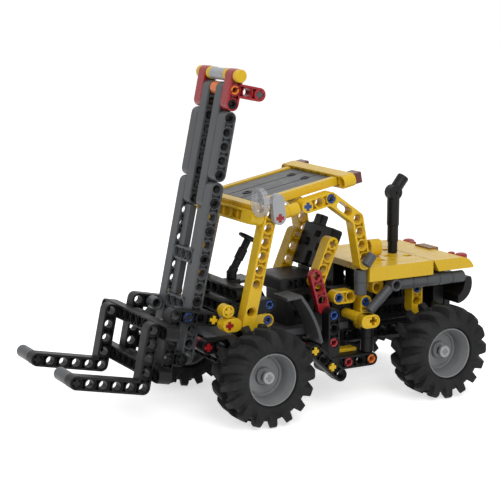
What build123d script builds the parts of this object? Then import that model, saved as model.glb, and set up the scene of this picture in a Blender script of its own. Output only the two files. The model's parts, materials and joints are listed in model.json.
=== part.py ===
"""Toy model of a rough terrain forklift, built of pin-hole beams on one grid pitch.

Frame: +X forward, +Y left, +Z up, millimetres. The layout counts grid pitches from the middle of
the front axle. The finished pieces are then lifted by the tyres' radius and moved along X, so that
the origin lies on the ground under the middle of the whole model.
"""
import os
from math import atan2, cos, degrees, hypot, pi, radians, sin, sqrt

from build123d import *

# Grid and beams
PITCH = 8.0            # hole to hole
BEAM_GAP = 0.2         # play between neighbours on the grid
BEAM = PITCH - BEAM_GAP
THIN = BEAM / 2
HALF = BEAM / PITCH / 2        # half a beam, in pitches
PIN_BORE = 4.8
SHAFT_PLAY = 0.2       # radial, pins and axles that are clipped in place
RUN_PLAY = 0.08        # radial, wheels on their stub axles
SHAFT = PIN_BORE / 2 - SHAFT_PLAY
BUSH_R = 3.7
BUSH_L = PITCH - 0.6
FLATS = 8              # flats that stand for a small circle
SEAT = 0.02            # gap between pieces that rest on each other, in pitches

# Planes of the beams, in pitches from the middle of the model
INNER_Y = 1            # inner mast columns
RAIL_Y = 2             # frame rails and outer mast columns
SIDE_Y = 3             # carriage sides and mast brackets
EDGE_Y = 4             # pillars, steps and the hood's edges

# Wheels
WHEELBASE = 120.0
TAIL_L = 4.4           # the model's end behind the rear axle, in pitches
TYRE_R = 28.0
TYRE_W = 25.4
WHEEL_GAP = 0.7        # between the pillars' plane and the tyres
LUG_H = 2.8
SHOULDER_DROP = 2.6
SHOULDER_W = 4.0
BEAD_R = 15.2
SIDES = 16             # flats round the tyre
LUGS = 16              # lugs on each half of the tread
LUG_W = 4.6
LUG_SWEEP = 7.0        # how far a lug's inner end runs ahead of its outer end
LUG_LENGTH = 9.0       # from the tread down the side wall
LUG_MID_GAP = 0.8
RIM_SIDES = 16
RIM_SET = 2.0          # rim face behind the side wall
RIM_LIP = 1.8
RIM_W = 20.0
RIM_PLAY = 0.1
DISH_D = 11.0
DISH_STEP = 3.2
DISH_BACK = 4.0
HUB_R = 5.2
HUB_D = 6.5            # hub face behind the rim face
STUB_R = 2.4
STUB_CAP_R = 3.0
STUB_CAP_L = 2.0
KINGPIN_Y = 26.0
YOKE_GAP = 0.3
EAR_T = 3.4
WEB_T = 2.6

# Mast, leaning back at rest
MAST_TOP = (-0.03, 20.54)      # x, z of the top axle
MAST_LEAN = 11.8
PIVOT = (-1, 19)               # a, b of the tilt pivot on the mast's own grid
FORK_B = 22
FORK_HEEL = 4
FORK_TIP = 9

# Cab and hood
PILLAR_TOP = (-1.60, 10.97)
PILLAR_LEAN = 13.2
ROOF_FRONT = (-1.2, 11.25)
ROOF_RISE = 11.0
RAIL_Z = 1.0
RAIL_FRONT = 1.4
FLOOR_T = 0.5
HOOD_TOP_Z = 6.38
HOOD_FRONT = -9.9
HOOD_T = 0.5
EDGE_T = 1.08          # the beams along the hood's edges
TAIL_T = 0.88
SEAT_LEAN = 23.0
STEP_BACK = 1.7        # middle of the steps behind the middle of the wheelbase
STEP_Z = -0.5


def spot(x, y, z, turn=0.0):
    """A place on the layout grid, in pitches, turned about the lateral axis."""
    return Location((x * PITCH, y * PITCH, z * PITCH), (0, turn, 0))


def mast_xz(a, b):
    """Layout x, z of a place on the mast grid: a forward of it, b down from its top axle."""
    lean = radians(MAST_LEAN)
    return (MAST_TOP[0] + a * cos(lean) + b * sin(lean), MAST_TOP[1] + a * sin(lean) - b * cos(lean))


def mast(a, b, y=0.0):
    """A place on the mast grid, turned with the mast."""
    x, z = mast_xz(a, b)
    return spot(x, y, z, -MAST_LEAN)


def side_plane(y):
    """The layout's own XZ plane at y pitches, for pieces drawn at their places."""
    return Pos(0, y * PITCH, 0)


def stadium(start, end):
    """The outline of a run between two hole centres, its round ends made of flats."""
    heading = atan2(end[1] - start[1], end[0] - start[0])
    points = []
    for centre, facing in ((end, heading), (start, heading + pi)):
        for step in range(FLATS // 2 + 1):
            angle = facing - pi / 2 + 2 * pi * step / FLATS
            x = centre[0] * PITCH + BEAM / 2 * cos(angle)
            z = centre[1] * PITCH + BEAM / 2 * sin(angle)
            points.append((x, z))
    return make_face(Polyline(*points, close=True))


def arm(runs, holes=(), thick=BEAM, mounts=()):
    """A flat beam in the XZ plane: runs join hole centres in pitches; mounts are the true round holes."""
    profile = stadium(*runs[0])
    for run in runs[1:]:
        profile += stadium(*run)
    for x, z in holes:
        profile -= Pos(x * PITCH, z * PITCH) * RegularPolygon(PIN_BORE / 2, FLATS, major_radius=False)
    for x, z in mounts:
        profile -= Pos(x * PITCH, z * PITCH) * Circle(PIN_BORE / 2)
    return extrude(Plane.XZ * profile, thick / 2, both=True)


def beam(count, holes=(), mounts=()):
    """A straight beam along +X from its first hole; holes and mounts list the places that are bored."""
    bored = [(index, 0) for index in holes]
    return arm([((0, 0), (count - 1, 0))], bored, mounts=[(index, 0) for index in mounts])


def cross_beam(half, holes=()):
    """A beam along Y, bored along X, with its end holes half pitches each side of the middle."""
    return Rot(0, 0, 90) * arm([((-half, 0), (half, 0))], [(index, 0) for index in holes])


def drum(radius, width, sides=FLATS):
    """A many-sided drum along Y, its corners on the radius, from y = 0 inwards to -width."""
    return Rot(90, 0, 0) * extrude(RegularPolygon(radius, sides), width)


def shaft(y_from, y_to, radius=SHAFT):
    """A bar of flats along Y between two places in pitches."""
    low, high = sorted((y_from, y_to))
    return Pos(0, high * PITCH, 0) * drum(radius, (high - low) * PITCH)


def roller(y, width=BUSH_L):
    """A drum on an axle along Y, centred at y pitches."""
    return Pos(0, y * PITCH + width / 2, 0) * drum(BUSH_R, width)


def bush(y, width):
    """A ring on an axle along Y, centred at y pitches."""
    bore = Rot(90, 0, 0) * extrude(RegularPolygon(PIN_BORE / 2, FLATS, major_radius=False), width)
    return Pos(0, y * PITCH + width / 2, 0) * (drum(BUSH_R, width) - bore)


def rod(start, end, y, radius=BUSH_R):
    """A tube of flats between two places (x, z) at y pitches."""
    length = hypot(end[0] - start[0], end[1] - start[1]) * PITCH
    turn = degrees(atan2(end[0] - start[0], end[1] - start[1]))
    return spot(start[0], y, start[1], turn) * extrude(RegularPolygon(radius, FLATS), length)


def block(x, y, z):
    """A box between two limits on each axis, in pitches."""
    size = [(high - low) * PITCH for low, high in (x, y, z)]
    middle = [(high + low) / 2 * PITCH for low, high in (x, y, z)]
    return Pos(*middle) * Box(*size)


def around(y, half=HALF):
    """The limits of a piece half pitches wide each side of y."""
    return (y - half, y + half)


def slab(edges, y_from, y_to):
    """A piece with an XZ outline, drawn in millimetres, from y_from to y_to pitches across the model."""
    body = extrude(Plane.XZ * make_face(edges), -(y_to - y_from) * PITCH)
    return Pos(0, y_from * PITCH, 0) * body


def path(*points):
    """Straight edges through places given in pitches."""
    return Polyline(*[(x * PITCH, z * PITCH) for x, z in points])


def bow(start, middle, end):
    """An arc through three places given in pitches."""
    return ThreePointArc(*[(x * PITCH, z * PITCH) for x, z in (start, middle, end)])


def both_sides(make):
    """The same piece at the left and at the right."""
    return [make(1), make(-1)]


nodes = {}


# Wheels
CARCASS_R = TYRE_R - LUG_H
TYRE_IN = EDGE_Y * PITCH + BEAM / 2 + WHEEL_GAP
TYRE_OUT = TYRE_IN + TYRE_W
RIM_FACE = TYRE_OUT - RIM_SET
STUB_OUT = RIM_FACE - HUB_D + BEAM_GAP


def tyre():
    """A drum with sloped shoulders and two staggered rows of swept lugs, its outer side wall at y = 0."""
    half = TYRE_W / 2
    ring = RegularPolygon(CARCASS_R, SIDES)
    side_wall = RegularPolygon(CARCASS_R - SHOULDER_DROP, SIDES)
    body = extrude(Pos(0, 0, SHOULDER_W) * ring, TYRE_W - 2 * SHOULDER_W)
    body += loft([side_wall, Pos(0, 0, SHOULDER_W) * ring])
    body += loft([Pos(0, 0, TYRE_W - SHOULDER_W) * ring, Pos(0, 0, TYRE_W) * side_wall])
    reach = (LUG_SWEEP + LUG_W) / 2
    top = sqrt(TYRE_R ** 2 - reach ** 2)
    root = TYRE_R - LUG_LENGTH
    down = 180 - degrees(atan2(reach, top))
    lugs = []
    for side in (1, -1):
        outline = [(-reach, half), (-reach + LUG_W, half), (reach, LUG_MID_GAP), (reach - LUG_W, LUG_MID_GAP)]
        foot = make_face(Polyline(*[(t, half + side * w) for t, w in outline], close=True))
        lug = extrude(Plane.XZ.offset(-root) * foot, -(top - root))
        phase = down + (0 if side > 0 else 180 / LUGS)
        lugs += [Rot(0, 0, phase + index * 360 / LUGS) * lug for index in range(LUGS)]
    body += lugs
    body -= extrude(RegularPolygon(BEAD_R, RIM_SIDES), TYRE_W)
    return Rot(90, 0, 0) * body


def rim():
    """A drum with a stepped dish, a hub standing in it and a bore for the stub, its outer face at y = 0."""
    body = drum(BEAD_R - RIM_PLAY, RIM_W, RIM_SIDES)
    inside = BEAD_R - RIM_PLAY - RIM_LIP
    body -= drum(inside, DISH_D / 2, RIM_SIDES)
    body -= drum(inside - DISH_STEP / 2, DISH_D, RIM_SIDES)
    body -= Pos(0, -DISH_D - DISH_BACK, 0) * drum(inside, RIM_W - DISH_D - DISH_BACK, RIM_SIDES)
    body += Pos(0, -HUB_D, 0) * drum(HUB_R, RIM_W - HUB_D)
    bore = Rot(90, 0, 0) * extrude(RegularPolygon(STUB_R + RUN_PLAY, FLATS, major_radius=False), RIM_W)
    return body - bore


wheel_places = [  # name, x in mm, side
    ("front_left", 0.0, 1),
    ("front_right", 0.0, -1),
    ("rear_left", -WHEELBASE, 1),
    ("rear_right", -WHEELBASE, -1),
]
tyre_solid = tyre()
rim_solid = rim()
for wheel, x, side in wheel_places:
    tyre_piece = Pos(x, TYRE_OUT, 0) * tyre_solid
    rim_piece = Pos(x, RIM_FACE, 0) * rim_solid
    nodes["tyre_" + wheel] = [tyre_piece if side > 0 else mirror(tyre_piece, Plane.XZ)]
    nodes["rim_" + wheel] = [rim_piece if side > 0 else mirror(rim_piece, Plane.XZ)]

# Axles: stubs carry the wheels, the rear ones on steered knuckles
REAR_X = -WHEELBASE / PITCH
REAR_END = REAR_X - TAIL_L
STUB_IN = SIDE_Y * PITCH + BEAM / 2 + BEAM_GAP


def stub(y_from):
    """A round stub axle from y_from out through the hub; the cap on its end keeps the wheel on."""
    bar = Pos(0, (y_from + STUB_OUT) / 2, 0) * Rot(90, 0, 0) * Cylinder(STUB_R, STUB_OUT - y_from)
    return bar + Pos(0, STUB_OUT + STUB_CAP_L, 0) * drum(STUB_CAP_R, STUB_CAP_L)


def knuckle():
    """Left knuckle about its kingpin: two ears, a web outside the beam's end and the stub axle."""
    ear_low = BEAM / 2 + YOKE_GAP
    web_out = ear_low + WEB_T
    ear = RegularPolygon(BEAM / 2, FLATS) + Pos(0, web_out / 2) * Rectangle(BEAM, web_out)
    ear -= RegularPolygon(PIN_BORE / 2, FLATS, major_radius=False)
    yoke = extrude(Pos(0, 0, ear_low) * ear, EAR_T) + extrude(Pos(0, 0, -ear_low - EAR_T) * ear, EAR_T)
    web_y = ear_low + WEB_T / 2
    yoke += Pos(0, web_y, 0) * Box(BEAM, WEB_T, 2 * (ear_low + EAR_T))
    yoke += Pos(0, -KINGPIN_Y, 0) * stub(KINGPIN_Y + web_y)
    return [yoke, Cylinder(SHAFT, 2 * (ear_low + EAR_T))]


front_stub = stub(STUB_IN)
nodes["front_stub_axles"] = [front_stub, Rot(0, 0, 180) * front_stub]
king = KINGPIN_Y / PITCH
rear_beam = arm([((-king, 0), (king, 0))], [(-king, 0), (king, 0)])
nodes["axle_beams"] = [cross_beam(SIDE_Y), spot(REAR_X, 0, 0) * Rot(0, 0, 90) * Rot(90, 0, 0) * rear_beam]
for name, side in (("left", 1), ("right", -1)):
    place = Pos(-WHEELBASE, side * KINGPIN_Y, 0) * Rot(0, 0, 0 if side > 0 else 180)
    nodes["rear_knuckle_" + name] = [place * solid for solid in knuckle()]

# Mast: two columns of spliced beams with the top axle in T-shaped arms
column_beams = [  # b of the first hole, holes
    (3, 5),
    (8, 13),
]
nodes["mast_columns"] = [mast(0, b, s * RAIL_Y) * Rot(0, 90, 0) * beam(count, range(count))
                         for b, count in column_beams for s in (1, -1)]
inner_column = Rot(0, 90, 0) * beam(9, (0, 3, 7))
nodes["mast_inner_columns"] = both_sides(lambda s: mast(0, 1, s * INNER_Y) * inner_column)
top_runs = [((0, 0), (0, -2)), ((0, -1), (-2, -1))]
top_holes = [(0, 0), (0, -1), (0, -2), (-2, -1)]
TOP_MOUNT = (-1, -1)                   # hole of the left arm that takes an add-on
nodes["mast_top_arms"] = [mast(0, 0, RAIL_Y) * arm(top_runs, top_holes, mounts=[TOP_MOUNT]),
                          mast(0, 0, -RAIL_Y) * arm(top_runs, top_holes + [TOP_MOUNT])]
HALF_BUSH = PITCH / 2 - BEAM_GAP
nodes["mast_top_axle"] = [mast(0, 0) * shaft(-SIDE_Y, SIDE_Y)]
nodes["mast_top_bushes"] = [mast(0, 0) * bush(y, HALF_BUSH) for y in (-2.75, -1.25, 1.25, 2.75)]
nodes["mast_top_roller"] = [mast(0, 0) * bush(0, 2 * (PITCH - BEAM_GAP))]
spreader_b = (13, 16.5)                # the spacers between the columns
nodes["mast_spacers"] = [mast(0, b) * cross_beam(INNER_Y, (0,)) for b in spreader_b]
STRIP_Y, STRIP_HALF, STRIP_DEEP = 0.9, 0.4, 0.25
strips = [  # b of the upper and lower end of the flat strips between inner columns and spacers
    (9 + HALF + SEAT, spreader_b[0] - HALF - SEAT),
    (spreader_b[0] + HALF + SEAT, spreader_b[1] - HALF - SEAT),
]
nodes["mast_spacers"] += [mast(0, 0) * block((-STRIP_DEEP, STRIP_DEEP), around(y, STRIP_HALF), (-low, -high))
                          for high, low in strips for y in (-STRIP_Y, STRIP_Y)]
lug_arm = arm([((PIVOT[0], 0), (0, 0))], [(PIVOT[0], 0), (0, 0)])
nodes["mast_pivot_lugs"] = both_sides(lambda s: mast(0, PIVOT[1], s * INNER_Y) * lug_arm)

# Carriage: side plates outside the columns, rollers before and behind them, bars and forks
SIDE_OUT = SIDE_Y + HALF
ROLLER_OUT = RAIL_Y + BUSH_L / PITCH / 2 + SEAT / 2
side_runs = [((-1, -17), (2, -17)), ((2, -17), (2, -21)), ((1, -20), (2, -20))]
side_holes = [(-1, -17), (0, -17), (1, -17), (2, -17), (2, -18), (1, -20), (2, -21)]
nodes["carriage_sides"] = both_sides(lambda s: mast(0, 0, s * SIDE_Y) * arm(side_runs, side_holes))
rollers = [(-1, 17), (1, 17), (1, 20), (2, 18), (2, 21)]  # a, b
nodes["carriage_rollers"] = [mast(a, b) * roller(s * RAIL_Y) for a, b in rollers for s in (1, -1)]
nodes["carriage_axles"] = [mast(a, b) * shaft(s * ROLLER_OUT, s * SIDE_OUT)
                           for a, b in rollers for s in (1, -1)]
nodes["carriage_bars"] = [mast(3, b) * cross_beam(5, (-3, 0, 3)) for b in (18, 21)]
fork_y = (-3, 4)                       # the two forks' beams
heel, tip = (FORK_HEEL, -FORK_B), (FORK_TIP, -FORK_B)
fork = arm([((FORK_HEEL, -18), heel), (heel, tip)], [tip, (FORK_TIP - 2, -FORK_B)])
nodes["forks"] = [mast(0, 0, y) * fork for y in fork_y]
TUBE_L = 2                             # pitches, tubes beside the fork tips
TUBE_AT = HALF + SEAT + TUBE_L / 2
tip_place = mast(FORK_TIP, FORK_B)
nodes["fork_tip_tubes"] = [tip_place * bush(y - TUBE_AT, TUBE_L * PITCH - BEAM_GAP) for y in fork_y]
nodes["carriage_axles"] += [tip_place * shaft(y - TUBE_AT - TUBE_L / 2, y + HALF) for y in fork_y]

# Chassis frame
PIVOT_X, PIVOT_Z = mast_xz(*PIVOT)
DECK_Z = RAIL_Z + HALF + SEAT
FLOOR_TOP = DECK_Z + FLOOR_T
FLOOR_Y = RAIL_Y + HALF - SEAT
rail = arm([((RAIL_FRONT, RAIL_Z), (REAR_END + 0.8, RAIL_Z))])
nodes["frame_rails"] = both_sides(lambda s: side_plane(s * RAIL_Y) * rail)
nodes["mast_brackets"] = both_sides(lambda s: spot(PIVOT_X, s * SIDE_Y, PIVOT_Z, 180) * beam(7, (0, 1)))
pivot_pin = Rot(90, 0, 0) * Cylinder(SHAFT, 2 * SIDE_OUT * PITCH)
nodes["chassis_axles"] = [spot(PIVOT_X, 0, PIVOT_Z) * pivot_pin]
nodes["chassis_axles"] += both_sides(lambda s: spot(PIVOT_X, 0, PIVOT_Z) * bush(s * RAIL_Y, BUSH_L))
nodes["cab_floor"] = [block((-9.4, 1.2), (-FLOOR_Y, FLOOR_Y), (DECK_Z, FLOOR_TOP))]

# Dash and the blocks before the pillars' feet
DASH_X = (-0.4, 0.58)
DASH_Z = 4.72
POST_LOW = PIVOT_Z + HALF + SEAT
nodes["dash_frame"] = both_sides(lambda s: block(DASH_X, around(s * SIDE_Y), (POST_LOW, DASH_Z - SEAT)))
DASH_TOP = DASH_Z + 2 * HALF
COLUMN_X = -0.85                       # the steering column's foot, on a nose of the dash
nose = block((COLUMN_X - HALF, DASH_X[0]), around(0), (DASH_Z, DASH_TOP))
nodes["dash_frame"] += [block(DASH_X, (-SIDE_OUT, SIDE_OUT), (DASH_Z, DASH_TOP)) + nose]

# Cab: pillars, roof and lamps
PILLAR_MOUNT = 4                       # hole of the left front pillar that takes an add-on
pillar_place = spot(PILLAR_TOP[0], 0, PILLAR_TOP[1], 90 - PILLAR_LEAN)
pillar_holes = [1, 2, 3, 5, 7]
nodes["front_pillars"] = [side_plane(EDGE_Y) * pillar_place * beam(9, pillar_holes, [PILLAR_MOUNT]),
                          side_plane(-EDGE_Y) * pillar_place * beam(9, pillar_holes + [PILLAR_MOUNT])]
foot_block = arm([((1.25, 3.39), (1.75, 3.39))], [(1.75, 3.39)])
nodes["front_pillars"] += both_sides(lambda s: side_plane(s * EDGE_Y) * foot_block)
nodes["front_pillars"] += both_sides(lambda s: spot(1.80, s * EDGE_Y, 4.40) * roller(0))
nodes["roof_cross_beams"] = [spot(-0.52, 0, 10.74, -PILLAR_LEAN) * cross_beam(EDGE_Y, (-2, 2))]
arm_front = (-4.57, 11.30)
arm_knee = (-6.53, 11.72)
arm_elbow = (-8.81, 10.10)
arm_foot = (-9.48, 6.73)
arm_runs = [(arm_front, arm_knee), (arm_knee, arm_elbow), (arm_elbow, arm_foot)]
arm_holes = [arm_front, (-5.55, 11.51), arm_knee, arm_elbow, (-9.01, 9.12), (-9.20, 8.14)]
window = path((-7.0, 11.62), (-7.2, 11.05), (-8.05, 10.45), (-8.2, 10.75), (-7.0, 11.62))
rear_arm = arm(arm_runs, arm_holes) - slab(window, -HALF, HALF)
nodes["rear_pillars"] = both_sides(lambda s: side_plane(s * EDGE_Y) * rear_arm)
nodes["roof_sides"] = both_sides(lambda s: rod((-2.2, 10.82), (-4.0, 11.18), s * EDGE_Y))
roof = spot(ROOF_FRONT[0], 0, ROOF_FRONT[1], ROOF_RISE)
ROOF_L, ROOF_T, BOARDS = 6.6, 0.5, 3
STRIP_IN = 2.9                         # inner edge of the roof's side strips
board_w = 2 * (STRIP_IN - SEAT) / BOARDS
board_y = [(index - (BOARDS - 1) / 2) * board_w for index in range(BOARDS)]
board_half = (board_w - SEAT) / 2
nodes["roof_panel"] = [roof * block((-ROOF_L, 0), around(y, board_half), (0, ROOF_T)) for y in board_y]
nodes["roof_sides"] += both_sides(
    lambda s: roof * block((-ROOF_L, -0.6), sorted((s * STRIP_IN, s * SIDE_OUT)), (0, ROOF_T + 0.1)))
nodes["roof_cross_beams"] += [roof * spot(-ROOF_L - SEAT - HALF, 0, ROOF_T / 2) * cross_beam(EDGE_Y)]
lamp_front = -ROOF_L - 2 * SEAT - 2 * HALF
nodes["tail_lamps"] = both_sides(
    lambda s: roof * block((lamp_front - 0.66, lamp_front), around(s * 3.6, 0.6), (-0.15, 0.65)))
LAMP_SIDES, LAMP_R, LAMP_T, LAMP_WALL = 16, 8.0, 3.8, 1.0
bracket_low, bracket_top = (-2.0, 10.75), (-1.85, 11.98)
lamp_bracket = arm([(bracket_low, bracket_top)], [bracket_low], THIN)
BRACKET_Y = EDGE_Y + HALF + SEAT + THIN / PITCH / 2
nodes["work_lamp_bracket"] = [side_plane(BRACKET_Y) * lamp_bracket]
dish = extrude(RegularPolygon(LAMP_R, LAMP_SIDES), -LAMP_T)
dish -= extrude(RegularPolygon(LAMP_R - LAMP_WALL, LAMP_SIDES), -(LAMP_T - LAMP_WALL))
LAMP_OUT, STEM_L = 0.35, 6.0           # the dish sits this far outside its stem
LAMP_X = bracket_top[0] + HALF + SEAT + (LAMP_T + STEM_L) / PITCH
stem = Pos(0, -LAMP_OUT * PITCH, -LAMP_T) * extrude(RegularPolygon(THIN / 2, FLATS), -STEM_L)
nodes["work_lamp"] = [spot(LAMP_X, BRACKET_Y + LAMP_OUT, bracket_top[1], 90) * (dish + stem)]

# Cab: seat, controls and mudguards
CUSHION_Z = 4.7
SEAT_Y = 1.98
nodes["seat_base"] = [block((-7.0, -4.6), (-1.5, 1.5), (FLOOR_TOP + SEAT, CUSHION_Z)) +
                      block((-7.4, -3.8), (-SEAT_Y, SEAT_Y), (CUSHION_Z, CUSHION_Z + 1))]
seat_place = spot(-6.95, 0, CUSHION_Z + 1.05, -SEAT_LEAN)
back = seat_place * block((-0.9, 0), (-SEAT_Y, SEAT_Y), (0.35, 3.6))
recesses = [  # y, low z, high z of the slots in the seat's back
    (0.0, 0.5, 1.5),
    (-0.9, 1.9, 2.4),
    (0.9, 1.7, 2.2),
    (0.2, 2.7, 3.1),
]
for y, low, high in recesses:
    back -= seat_place * block((-0.3, 0), around(y, 0.3), (low, high))
nodes["seat_back"] = [back + seat_place * block((-0.75, -0.15), (-1.3, -0.2), (3.6, 4.4))]
SEAT_ARM_Y = SEAT_Y + SEAT + HALF
nodes["seat_arms"] = both_sides(lambda s: seat_place * spot(0.27, s * SEAT_ARM_Y, 2.45) * Rot(0, 90, 0) *
                                beam(4, (0, 1, 2)))
lever_top, lever_mid, lever_low, lever_end = (-5.94, 5.97), (-6.21, 5.04), (-6.48, 4.12), (-6.66, 3.50)
LEVER_Y = SEAT_ARM_Y + HALF + SEAT + THIN / PITCH / 2
nodes["control_lever"] = [side_plane(LEVER_Y) * arm([(lever_top, lever_end)], [lever_mid, lever_low], THIN)]
WHEEL_R, WHEEL_GRIP, COLUMN_L, COLUMN_LEAN = 6.4, 2.0, 2.7, 30
JOINT_TOP, JOINT_R = 6.3, 3.0
joint = rod((COLUMN_X, DASH_TOP + SEAT), (COLUMN_X, JOINT_TOP), 0, JOINT_R)
column = spot(COLUMN_X, 0, JOINT_TOP - JOINT_R / PITCH / 2, -COLUMN_LEAN)
ring = RegularPolygon(WHEEL_R, RIM_SIDES) - RegularPolygon(WHEEL_R - WHEEL_GRIP, RIM_SIDES)
spoke = Rectangle(2 * WHEEL_R - WHEEL_GRIP, WHEEL_GRIP) + RegularPolygon(WHEEL_GRIP * 1.5, FLATS)
bar = extrude(RegularPolygon(STUB_R, FLATS), COLUMN_L * PITCH)
grip = extrude(ring + spoke, WHEEL_GRIP)
nodes["steering_wheel"] = [joint + column * bar, column * spot(0, 0, COLUMN_L + SEAT) * grip]
GUARD_Y = (RAIL_Y + HALF + 2 * SEAT, EDGE_Y + HALF)
guard_front, guard_knee, guard_low = (-2.9, 4.85), (-4.1, 4.95), (-5.95, 1.25)
inner_front, inner_knee, inner_low = (-2.9, 4.35), (-3.85, 4.45), (-5.45, 1.15)
guard = path(guard_front, guard_knee) + bow(guard_knee, (-5.25, 3.2), guard_low)
guard += path(guard_low, inner_low) + bow(inner_low, (-4.8, 2.95), inner_knee)
guard += path(inner_knee, inner_front, guard_front)
nodes["mudguards"] = both_sides(lambda s: slab(guard, *sorted((s * GUARD_Y[0], s * GUARD_Y[1]))))

# Sides: steps and tubes between the wheels, links behind the front ones
STEP_X = REAR_X / 2 - STEP_BACK
STEP_TOP = STEP_Z + HALF
STEP_MOUNT = 3                         # hole of the left step that takes an add-on
step_holes = [1, 2, 4]
step_front = STEP_X + STEP_MOUNT
nodes["side_steps"] = [spot(step_front, EDGE_Y, STEP_Z, 180) * beam(5, step_holes, [STEP_MOUNT]),
                       spot(step_front, -EDGE_Y, STEP_Z, 180) * beam(5, step_holes + [STEP_MOUNT])]
nodes["side_steps"] += [block((STEP_X, STEP_X + 1), (-SIDE_OUT, SIDE_OUT), around(STEP_Z)) +
                        block((STEP_X, STEP_X + 1), (-2.4, 2.4), (STEP_TOP, RAIL_Z - HALF - SEAT))]
ON_STEP = STEP_TOP + SEAT
TREAD_X, TREAD_T, TREAD_MID, TREAD_HALF = (STEP_X - 0.3, STEP_X + 2.5), 0.25, 3.02, 0.43
nodes["step_treads"] = both_sides(
    lambda s: block(TREAD_X, around(s * TREAD_MID, TREAD_HALF), (ON_STEP, ON_STEP + TREAD_T)))
STACK_X = -6.88                        # upright beams on the front ends of the steps
stack_holes = [(STACK_X, z) for z in (3.15, 2.13, 1.13)]
stack = arm([(stack_holes[0], (STACK_X, ON_STEP + HALF))], stack_holes)
nodes["side_steps"] += both_sides(lambda s: side_plane(s * EDGE_Y) * stack)
link_top, link_low = (-4.68, 0.98), (-6.88, -1.06)
link_axle = tuple(low + (top - low) / 3 for top, low in zip(link_top, link_low))
link = arm([(link_top, link_low)], [link_top, link_axle, link_low])
nodes["side_links"] = both_sides(lambda s: side_plane(s * (EDGE_Y + 2 * HALF + SEAT)) * link)
nodes["chassis_axles"] += both_sides(
    lambda s: spot(link_top[0], 0, link_top[1]) * shaft(s * (RAIL_Y + HALF + SEAT), s * (EDGE_Y + 3 * HALF)))
TUBE_X, TUBE_Z, OVAL = STEP_X + 0.13, 2.75, 0.3
TUBE_IN, TUBE_OUT = RAIL_Y + HALF + 3 * SEAT, 5.98
oval = arm([((TUBE_X + OVAL, TUBE_Z), (TUBE_X - OVAL, TUBE_Z))])
OVAL_Y = TUBE_OUT - HALF
nodes["side_tubes"] = both_sides(
    lambda s: spot(TUBE_X, 0, TUBE_Z) * shaft(s * TUBE_IN, s * OVAL_Y, BUSH_R) + side_plane(s * OVAL_Y) * oval)
PANEL_X, BAR_X, BAR_Z = TUBE_X - 1.2, -7.92, 4.15
panel_holes = [(PANEL_X, z) for z in (3.6, 2.6)]
panel = arm([(panel_holes[0], (PANEL_X, 1.9))], panel_holes)
bar_ends = [(BAR_X, BAR_Z), (BAR_X - 1, BAR_Z)]
for piece in (panel, arm([bar_ends], bar_ends)):
    nodes["side_tubes"] += both_sides(lambda s: side_plane(s * SIDE_Y) * piece)
POST_X, POST_TOP = STEP_X - 0.85, 2.25
nodes["side_steps"] += both_sides(lambda s: rod((POST_X, ON_STEP), (POST_X, POST_TOP), s * EDGE_Y, THIN))

# Hood, engine and exhaust
nodes["engine_block"] = [block((REAR_END + 2.4, -11.6), (-1.45, 1.45), (DECK_Z, HOOD_TOP_Z - 0.98))]
PLATE_Z = HOOD_TOP_Z - HOOD_T
posts_x = (PANEL_X - 0.78, REAR_END + 1.8)
nodes["frame_posts"] = [block(around(x), around(s * RAIL_Y), (DECK_Z, PLATE_Z - SEAT))
                        for x in posts_x for s in (1, -1)]
wall_z = (FLOOR_TOP + SEAT, BAR_Z + HALF)
nodes["frame_posts"] += both_sides(lambda s: block((TUBE_X - HALF, BAR_X), around(s * RAIL_Y), wall_z))
HOOD_SPLIT = REAR_X - 0.62
hood = block((HOOD_SPLIT, HOOD_FRONT), (-SIDE_OUT, SIDE_OUT), (PLATE_Z, HOOD_TOP_Z))
tile_gaps = [  # x, y of the small square gaps between the hood's tiles
    (-12.3, 2.4),
    (-13.6, 1.2),
    (REAR_X - 0.03, 1.9),
    (REAR_X + 0.1, -0.9),
]
for x, y in tile_gaps:
    hood -= block(around(x, 0.24), around(y, 0.24), (HOOD_TOP_Z - 0.2, HOOD_TOP_Z))
nodes["hood_top"] = [hood]
nodes["hood_top"] += both_sides(
    lambda s: block((HOOD_SPLIT, HOOD_FRONT), around(s * EDGE_Y), (HOOD_TOP_Z - EDGE_T, HOOD_TOP_Z)))
hood_lug = Rot(0, 0, 90) * arm([((0, 0), (0, 0.35))], [(0, 0.35)])
nodes["hood_top"] += [spot(-12.6, 0.9, HOOD_TOP_Z + HALF + SEAT) * hood_lug]
hangers = [  # x, heights of the holes, height of the low end's middle
    (PANEL_X - 2 * HALF - 0.05, (4.57,), 4.57),
    (REAR_X + 0.1, (4.13, 3.16), 2.65),
]
for x, holes, low in hangers:
    hanger = arm([((x, PLATE_Z - SEAT - HALF), (x, low))], [(x, z) for z in holes])
    nodes["hood_top"] += both_sides(lambda s: side_plane(s * SIDE_Y) * hanger)
TAIL_FRONT = HOOD_SPLIT - SEAT
TAIL_LOW = HOOD_TOP_Z - TAIL_T
tail_arc = ((REAR_END + 1.3, HOOD_TOP_Z), (REAR_END + 0.38, HOOD_TOP_Z - 0.28), (REAR_END, TAIL_LOW))
tail_edges = path((TAIL_FRONT - 0.5, TAIL_LOW), (TAIL_FRONT, HOOD_TOP_Z), tail_arc[0])
tail_edges += bow(*tail_arc)
tail_edges += path(tail_arc[2], (TAIL_FRONT - 0.5, TAIL_LOW))
tail = slab(tail_edges, -EDGE_Y - HALF, EDGE_Y + HALF)
nodes["hood_rear"] = [tail - block((REAR_END + 1.1, REAR_END + 2.4), (-2.6, 2.6), (HOOD_TOP_Z - 1, PLATE_Z))]
EDGE_TUBE_Z = HOOD_TOP_Z - EDGE_T - SEAT - BUSH_R / PITCH
BUMPER_IN, BUMPER_FOOT, BUMPER_TOP, BUMPER_LOW = REAR_END + 0.65, REAR_END + 1.2, 4.75, 2.75
tube_front = (-12.4, EDGE_TUBE_Z)
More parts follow.
